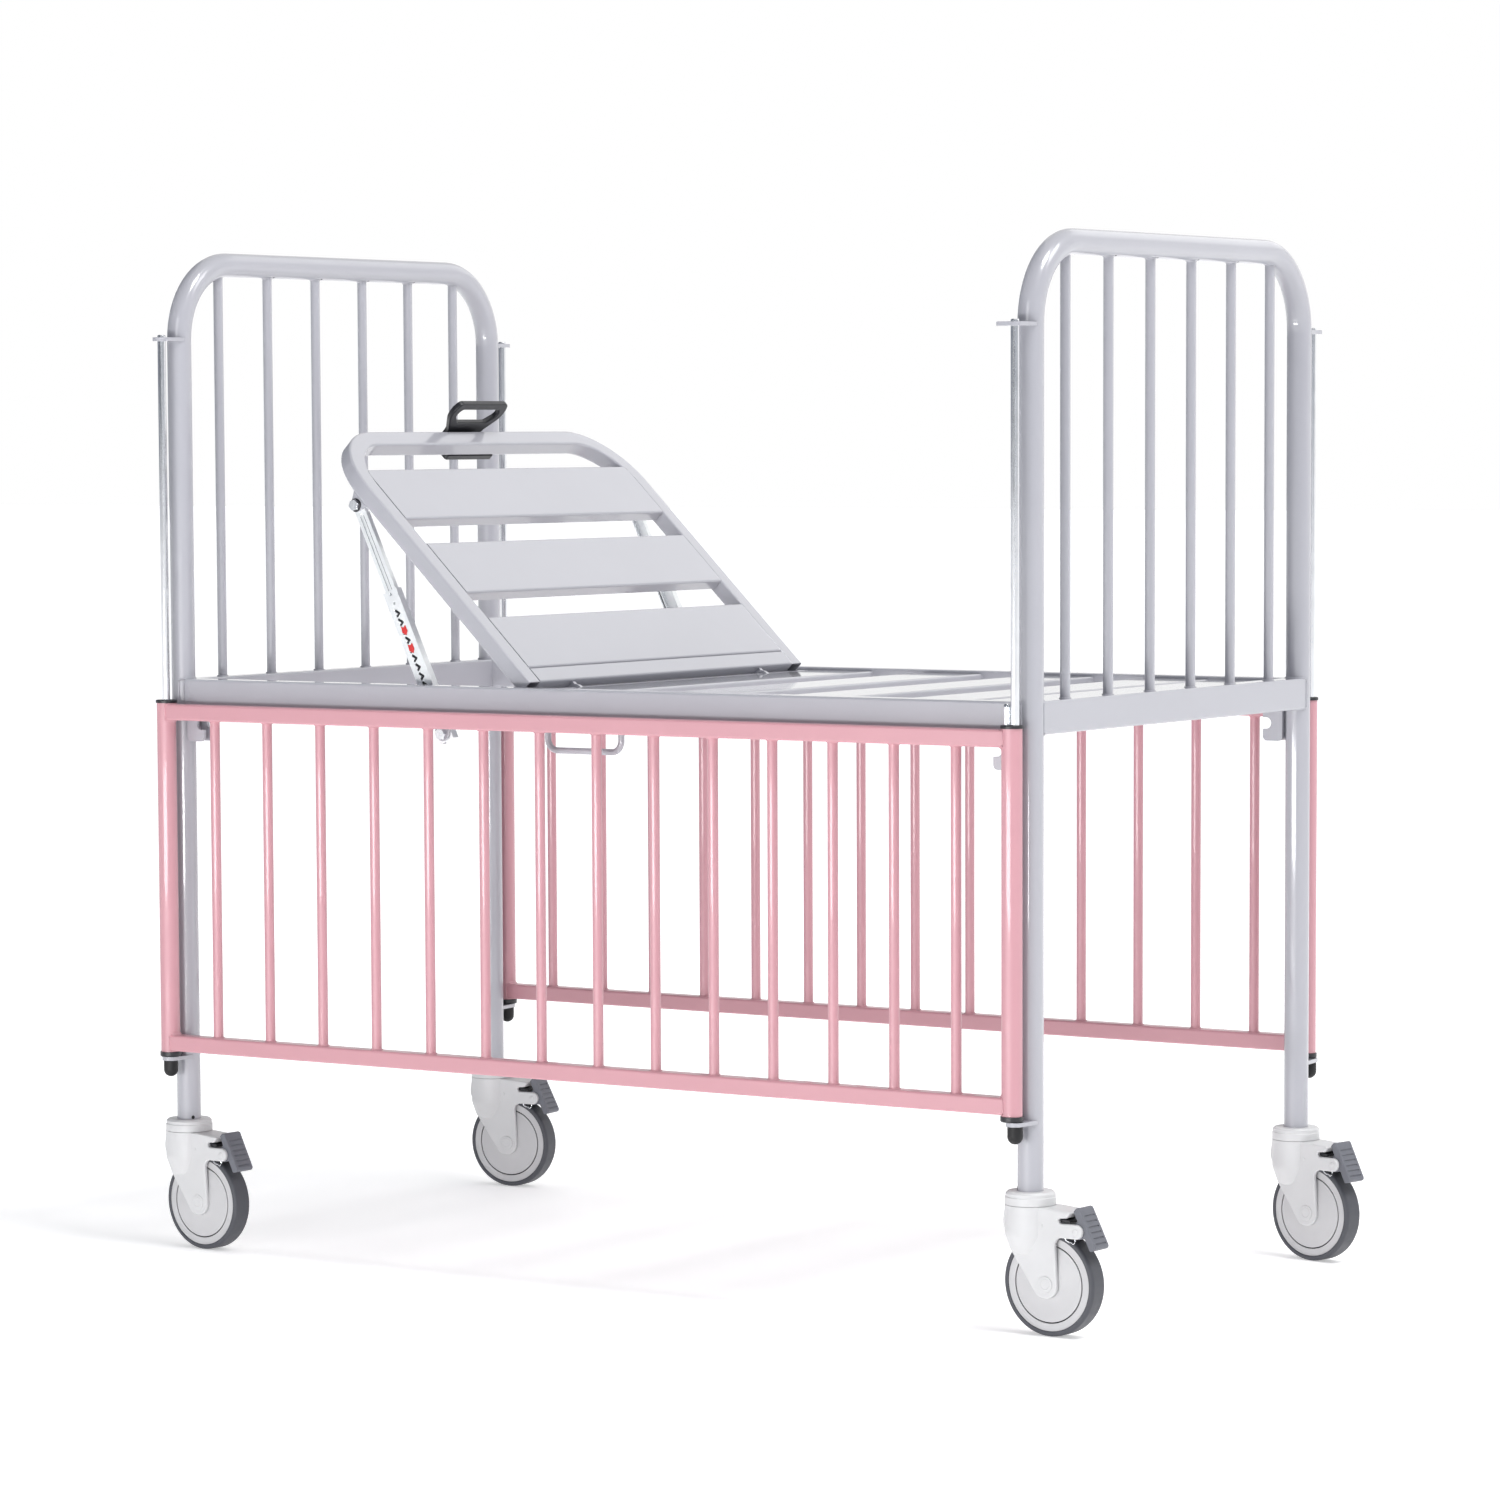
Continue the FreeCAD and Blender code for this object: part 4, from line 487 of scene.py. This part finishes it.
def prism(bm, near_points, far_points):
    """A closed form between two matching outlines."""
    near = [bm.verts.new(p) for p in near_points]
    far = [bm.verts.new(p) for p in far_points]
    bm.faces.new(near)
    bm.faces.new(list(reversed(far)))
    for k in range(len(near)):
        j = (k + 1) % len(near)
        bm.faces.new((near[k], near[j], far[j], far[k]))


def soften(bm, radius):
    bmesh.ops.bevel(bm, geom=list(bm.edges), offset=radius, segments=2, affect="EDGES")


def stay_plate(bm, side_y, face_y, outline, rise):
    """A thin plate on a stay: (along, across) corners from its lower pivot; rise is outward."""
    head_x, head_z = raised(*STAY_HEAD)
    run = Vector((head_x - STAY_FOOT[0], 0.0, head_z - STAY_FOOT[1])).normalized()
    across = Vector((-run.z, 0.0, run.x))
    face = place(STAY_FOOT[0], side_y * face_y, STAY_FOOT[1])
    corners = [face + run * s + across * w for s, w in outline]
    lift = Vector((0, side_y if rise > 0 else -side_y, 0)) * abs(rise)
    prism(bm, corners, [c + lift for c in corners])


def strip(run, low, high):
    return ((run[0], low), (run[1], low), (run[1], high), (run[0], high))


def stay_slot_shade(side_y):
    """Black strips painted as the shade inside a stay's channel, seen through its slots beside the
    pawls.
    """
    def build(bm):
        for run in SLOT_SHADE_RUNS:
            stay_plate(bm, side_y, STAY_WEB_Y - STAY_SHEET - SLOT_SHADE_SINK,
                       strip(run, -SLOT_SHADE_HALF, SLOT_SHADE_HALF), -SLOT_SHADE_T)
    return build


def pawl_tips(side_y):
    """Red tips of the two pawls, standing out of the slots that they fill at rest."""
    def build(bm):
        for centre in PAWL_SLOTS:
            outline = [(centre + s, w) for s, w in PAWL_OUTLINE]
            stay_plate(bm, side_y, STAY_WEB_Y - PAWL_SINK, outline, PAWL_T)
        soften(bm, PAWL_EDGE_R)
    return build


def rail_groove_shade(side_y):
    """Two grey strips painted as the shade of pressed lines along the open part of a stay's inner
    rail.
    """
    def build(bm):
        for middle in (-LINE_OFFSET, LINE_OFFSET):
            outline = strip(LINE_RUN, middle - LINE_HALF, middle + LINE_HALF)
            stay_plate(bm, side_y, INNER_RAIL_Y, outline, LINE_T)
    return build


def stay_washer(side_y):
    """Black washer under the head of a stay's upper bolt."""
    def build(bm):
        head_x, head_z = raised(*STAY_HEAD)
        face = INNER_RAIL_Y + SIDE_GAP + LUG_T
        lathe(bm, WASHER, place(head_x, side_y * face, head_z), Vector((0, side_y, 0)), 32)
    return build


for side_name, side_y in (("near", -1), ("far", 1)):
    stay = side_name + "_stay"
    channel = stay + "_channel"
    # Black strips: painted shade behind the stay's slots.
    new_piece(stay + "_slot_shade", stay_slot_shade(side_y), "black_plastic", channel)
    new_piece(stay + "_pawl_tips", pawl_tips(side_y), "red_plastic", channel)
    # Grey strips: painted shade of the inner rail's pressed lines.
    new_piece(stay + "_rail_groove_shade", rail_groove_shade(side_y), "grey_plastic", stay + "_rail")
    new_piece(stay + "_washer", stay_washer(side_y), "black_plastic", "backrest")


# ------------------------------------------------------------------ caster details
# Profiles are (radius, height) pairs; places are (forward, up) from the swivel axis.
BOSS_AT, PIN_AT = (0.029, 0.134), (0.0765, 0.130)
BOSS = ((0.0024, -0.0008), (0.0024, 0.0002), (0.0019, 0.00055), (0.0012, 0.0004),
        (0.0, 0.00025))
PIN_END = ((0.0040, -0.0008), (0.0040, 0.0002), (0.0036, 0.0005), (0.0, 0.0006))
AXLE_CAP_T = 0.0008
AXLE_COVER = ((0.0099, -0.0008), (0.0099, -0.0001), (0.0096, 0.0002), (0.0068, 0.0003),
              (0.0065, 0.0006), (0.0059, 0.0006), (0.0056, 0.0003), (0.0, 0.0003))
RIM_FACE_Y, RIM_GROOVE_DEPTH = 0.0125, 0.0030
# Black ring in the wheel's groove: painted shade.
GROOVE_SHADE_RING = ((0.0463, 0.0), (0.0463, 0.0012), (0.0467, 0.0016), (0.0473, 0.0016),
             (0.0477, 0.0012), (0.0477, 0.0), (0.0463, 0.0))
# Black block in the fork's throat: partly the brake bar, partly painted shade of the hollow.
BAR_HALF_W, BAR_EDGE_R = 0.0152, 0.0006
BAR_OUTLINE = ((0.0490, 0.1395), (0.0640, 0.1392), (0.0655, 0.1408), (0.0640, 0.1432),
               (0.0560, 0.1436), (0.0490, 0.1441))
SPRING_Y, SPRING_WIRE_R = 0.0172, 0.0008
SPRING_ROUTE = ((0.0600, 0.1215), (0.0615, 0.1190), (0.0650, 0.1172), (0.0690, 0.1168),
                (0.0715, 0.1150), (0.0735, 0.1165), (0.0745, 0.1190), (0.0740, 0.1215))


def caster_point(side_x, side_y, heading):
    """Turns (forward, sideways, up) from a caster's swivel axis into the frame's coordinates."""
    turn = Matrix.Rotation(math.radians(heading), 3, "Z")
    origin = place(side_x * POST_X, side_y * POST_Y, 0.0)

    def at(x, y, z):
        return origin + turn @ Vector((x, y, z))

    return at, turn


def cheek_marks(at, turn):
    """Moulded marks on the cheeks: a small boss, the pedal pin's ends, covers on the axle caps."""
    def build(bm):
        for out in (-1, 1):
            axis = turn @ Vector((0, out, 0))
            face = out * FORK_OUT_Y
            cap = face + out * AXLE_CAP_T
            lathe(bm, BOSS, at(BOSS_AT[0], face, BOSS_AT[1]), axis, 24)
            lathe(bm, PIN_END, at(PIN_AT[0], face, PIN_AT[1]), axis, 28)
            lathe(bm, AXLE_COVER, at(TRAIL, cap, WHEEL_R), axis, 40)
    return build


def brake_bar_and_throat_shade(at):
    """Black block across the fork's throat above the pedal's arms: partly the brake's dark steel
    bar, partly painted shade of the hollow between the cheeks.
    """
    def build(bm):
        prism(bm, [at(x, -BAR_HALF_W, z) for x, z in BAR_OUTLINE],
              [at(x, BAR_HALF_W, z) for x, z in BAR_OUTLINE])
        soften(bm, BAR_EDGE_R)
    return build


def wheel_groove_shade(at, turn):
    """Black ring painted as the shade in the groove of each wheel face."""
    def build(bm):
        for out in (-1, 1):
            face = out * (RIM_FACE_Y - RIM_GROOVE_DEPTH)
            lathe(bm, GROOVE_SHADE_RING, at(TRAIL, face, WHEEL_R), turn @ Vector((0, out, 0)), 72)
    return build


def spring_wire(at):
    """Bent wire of the brake's return spring, under each of the pedal's arms."""
    def build(bm):
        for out in (-1, 1):
            strand(bm, [at(x, out * SPRING_Y, z) for x, z in SPRING_ROUTE], SPRING_WIRE_R)
    return build


for place_name, side_x, side_y, heading in CASTERS:
    at, turn = caster_point(side_x, side_y, heading)
    caster = "caster_" + place_name
    fork = caster + "_fork"
    new_piece(caster + "_cheek_marks", cheek_marks(at, turn), "white_plastic", fork)
    # Black block: the brake bar and painted shade of the fork's hollow throat.
    new_piece(caster + "_brake_bar_and_throat_shade", brake_bar_and_throat_shade(at), "black_plastic", fork)
    # Black ring: painted shade in the groove of the wheel's faces.
    new_piece(caster + "_wheel_groove_shade", wheel_groove_shade(at, turn), "black_rubber", caster + "_wheel")
    new_piece(caster + "_spring_wire", spring_wire(at), "zinc", fork)


# ------------------------------------------------------------------ stage, light, camera
# Lights: name, place, what it points at, width and height in metres, watts.
LIGHTS = (
    ("key_right", (4.2, -0.8, 8.2), (0.0, 0.0, 0.6), 2.6, 2.6, 430.0),
    ("front_fill", (0.5, -5.5, 2.6), (0.0, 0.0, 0.6), 1.8, 2.2, 38.0),
    ("back_panel", (0.7, 6.2, 4.8), (-0.1, 0.0, 0.9), 4.6, 3.2, 30.0),
    ("slat_light", (3.4, 1.2, 4.2), (0.0, 0.0, 0.7), 1.6, 1.6, 46.0),
    ("low_fill", (0.0, -3.8, 0.3), (-0.2, 0.0, 0.25), 2.8, 0.25, 54.0),
)
FLOOR_HALF = 60.0
GLOW_NEAR, GLOW_FAR = 0.40, 0.70            # the floor's own light, near the cot and far off
GLOW_NEAR_AT, GLOW_FAR_AT = 1.0, 5.0        # metres from the middle
SKY_DIM = 0.72
LEFT_DIM = (0.20, 0.22, 0.26)
FRONT_DIM = (0.36, 0.38, 0.42)
# Towards the camera's right and the camera, half length: a dot product spans -0.5 to 0.5.
# Lifted by 0.5 it is low on the left and high in front, where the ramps are dim.
DOT_LIFT = 0.5
RIGHTWARDS, FRONTWARDS = (0.416, 0.2775, 0.0), (0.2775, -0.416, 0.0)
# The photograph's solved camera, in its own pixels and in metres from the bed's middle.
PHOTO_PX, FOCAL_PX, CENTRE_PX = 1500.0, 5277.6175, (699.962, 870.100)
SENSOR_MM = 36.0
CAMERA_AT = (3.7964547, -5.7794817, 1.0743855)
AZIMUTH, TILT, ROLL = 0.5880163562, 0.0820564356, -0.0050229444


def area_light(name, location, target, size, size_y, power):
    data = bpy.data.lights.new(name, "AREA")
    data.shape = "RECTANGLE"
    data.size = size
    data.size_y = size_y
    data.energy = power
    light = bpy.data.objects.new(name, data)
    scene.collection.objects.link(light)
    light.location = location
    direction = Vector(target) - Vector(location)
    light.rotation_euler = direction.to_track_quat("-Z", "Y").to_euler()
    light.visible_camera = False


def make_floor():
    """Plain pale floor, wide enough to fill every view."""
    mesh = bpy.data.meshes.new("studio_floor")
    obj = bpy.data.objects.new("studio_floor", mesh)
    scene.collection.objects.link(obj)
    bm = bmesh.new()
    bmesh.ops.create_grid(bm, x_segments=1, y_segments=1, size=FLOOR_HALF)
    bm.to_mesh(mesh)
    bm.free()
    mat, tree, shader = new_material("studio_floor")
    tree.links.new(ramp(tree, noise(tree, 0.8, 2.0), [(0.3, grey(0.91)), (0.7, grey(0.93))]),
                   shader.inputs["Base Color"])
    shader.inputs["Roughness"].default_value = 0.6
    shader.inputs["Specular IOR Level"].default_value = 0.15
    shader.inputs["Emission Color"].default_value = (1.0, 1.0, 1.0, 1.0)
    coords = tree.nodes.new("ShaderNodeTexCoord")
    length = tree.nodes.new("ShaderNodeVectorMath")
    length.operation = "LENGTH"
    tree.links.new(coords.outputs["Object"], length.inputs[0])
    far = tree.nodes.new("ShaderNodeMapRange")
    far.interpolation_type = "SMOOTHSTEP"
    for socket, value in (("From Min", GLOW_NEAR_AT), ("From Max", GLOW_FAR_AT),
                          ("To Min", GLOW_NEAR), ("To Max", GLOW_FAR)):
        far.inputs[socket].default_value = value
    tree.links.new(length.outputs["Value"], far.inputs["Value"])
    tree.links.new(far.outputs["Result"], shader.inputs["Emission Strength"])
    mesh.materials.append(mat)


def make_world():
    """Plain white to look at; its light is dimmer on the left, in front and overhead."""
    world = bpy.data.worlds.new("studio")
    scene.world = world
    world.use_nodes = True
    tree = world.node_tree
    background = tree.nodes["Background"]
    coords = tree.nodes.new("ShaderNodeTexCoord")
    apart = tree.nodes.new("ShaderNodeSeparateXYZ")
    tree.links.new(coords.outputs["Generated"], apart.inputs["Vector"])
    white, sky = grey(1.0), grey(SKY_DIM)
    light_now = ramp(tree, apart.outputs["Z"], [(0.10, white), (0.32, sky), (1.0, sky)])
    left_stops = [(0.05, LEFT_DIM), (0.36, LEFT_DIM), (0.40, white)]
    front_stops = [(0.55, white), (0.72, FRONT_DIM), (1.0, FRONT_DIM)]
    for towards, stops in ((RIGHTWARDS, left_stops), (FRONTWARDS, front_stops)):
        across = tree.nodes.new("ShaderNodeVectorMath")
        across.operation = "DOT_PRODUCT"
        across.inputs[1].default_value = towards
        tree.links.new(coords.outputs["Generated"], across.inputs[0])
        lift = tree.nodes.new("ShaderNodeMath")
        lift.operation = "ADD"
        lift.inputs[1].default_value = DOT_LIFT
        tree.links.new(across.outputs["Value"], lift.inputs[0])
        mix = tree.nodes.new("ShaderNodeMix")
        mix.data_type = "RGBA"
        mix.blend_type = "MULTIPLY"
        mix.inputs["Factor"].default_value = 1.0
        tree.links.new(light_now, mix.inputs["A"])
        tree.links.new(ramp(tree, lift.outputs["Value"], stops), mix.inputs["B"])
        light_now = mix.outputs["Result"]
    rays = tree.nodes.new("ShaderNodeLightPath")
    seen = tree.nodes.new("ShaderNodeMix")
    seen.data_type = "RGBA"
    seen.inputs["B"].default_value = (1.0, 1.0, 1.0, 1.0)
    tree.links.new(rays.outputs["Is Camera Ray"], seen.inputs["Factor"])
    tree.links.new(light_now, seen.inputs["A"])
    tree.links.new(seen.outputs["Result"], background.inputs["Color"])
    background.inputs["Strength"].default_value = 1.0


def make_camera():
    """The photograph's solved camera, moved to the record's origin."""
    data = bpy.data.cameras.new("photo_camera")
    cam = bpy.data.objects.new("photo_camera", data)
    scene.collection.objects.link(cam)
    ahead = Vector((-math.sin(AZIMUTH) * math.cos(TILT), math.cos(AZIMUTH) * math.cos(TILT),
                    -math.sin(TILT)))
    right = Vector((math.cos(AZIMUTH), math.sin(AZIMUTH), 0.0))
    up = right.cross(ahead)
    right_r = math.cos(ROLL) * right + math.sin(ROLL) * up
    up_r = -math.sin(ROLL) * right + math.cos(ROLL) * up
    turn = Matrix((right_r, up_r, -ahead)).transposed()
    cam.matrix_world = Matrix.Translation(place(*CAMERA_AT)) @ turn.to_4x4()
    data.sensor_fit = "HORIZONTAL"
    data.sensor_width = SENSOR_MM
    data.lens = FOCAL_PX / PHOTO_PX * SENSOR_MM
    data.shift_x = (PHOTO_PX / 2 - CENTRE_PX[0]) / PHOTO_PX
    data.shift_y = (CENTRE_PX[1] - PHOTO_PX / 2) / PHOTO_PX
    data.clip_start = 0.1
    data.clip_end = 200.0
    scene.camera = cam


make_floor()
make_world()
make_camera()
for light in LIGHTS:
    area_light(*light)
scene.view_settings.view_transform = "Standard"
scene.view_settings.look = "None"
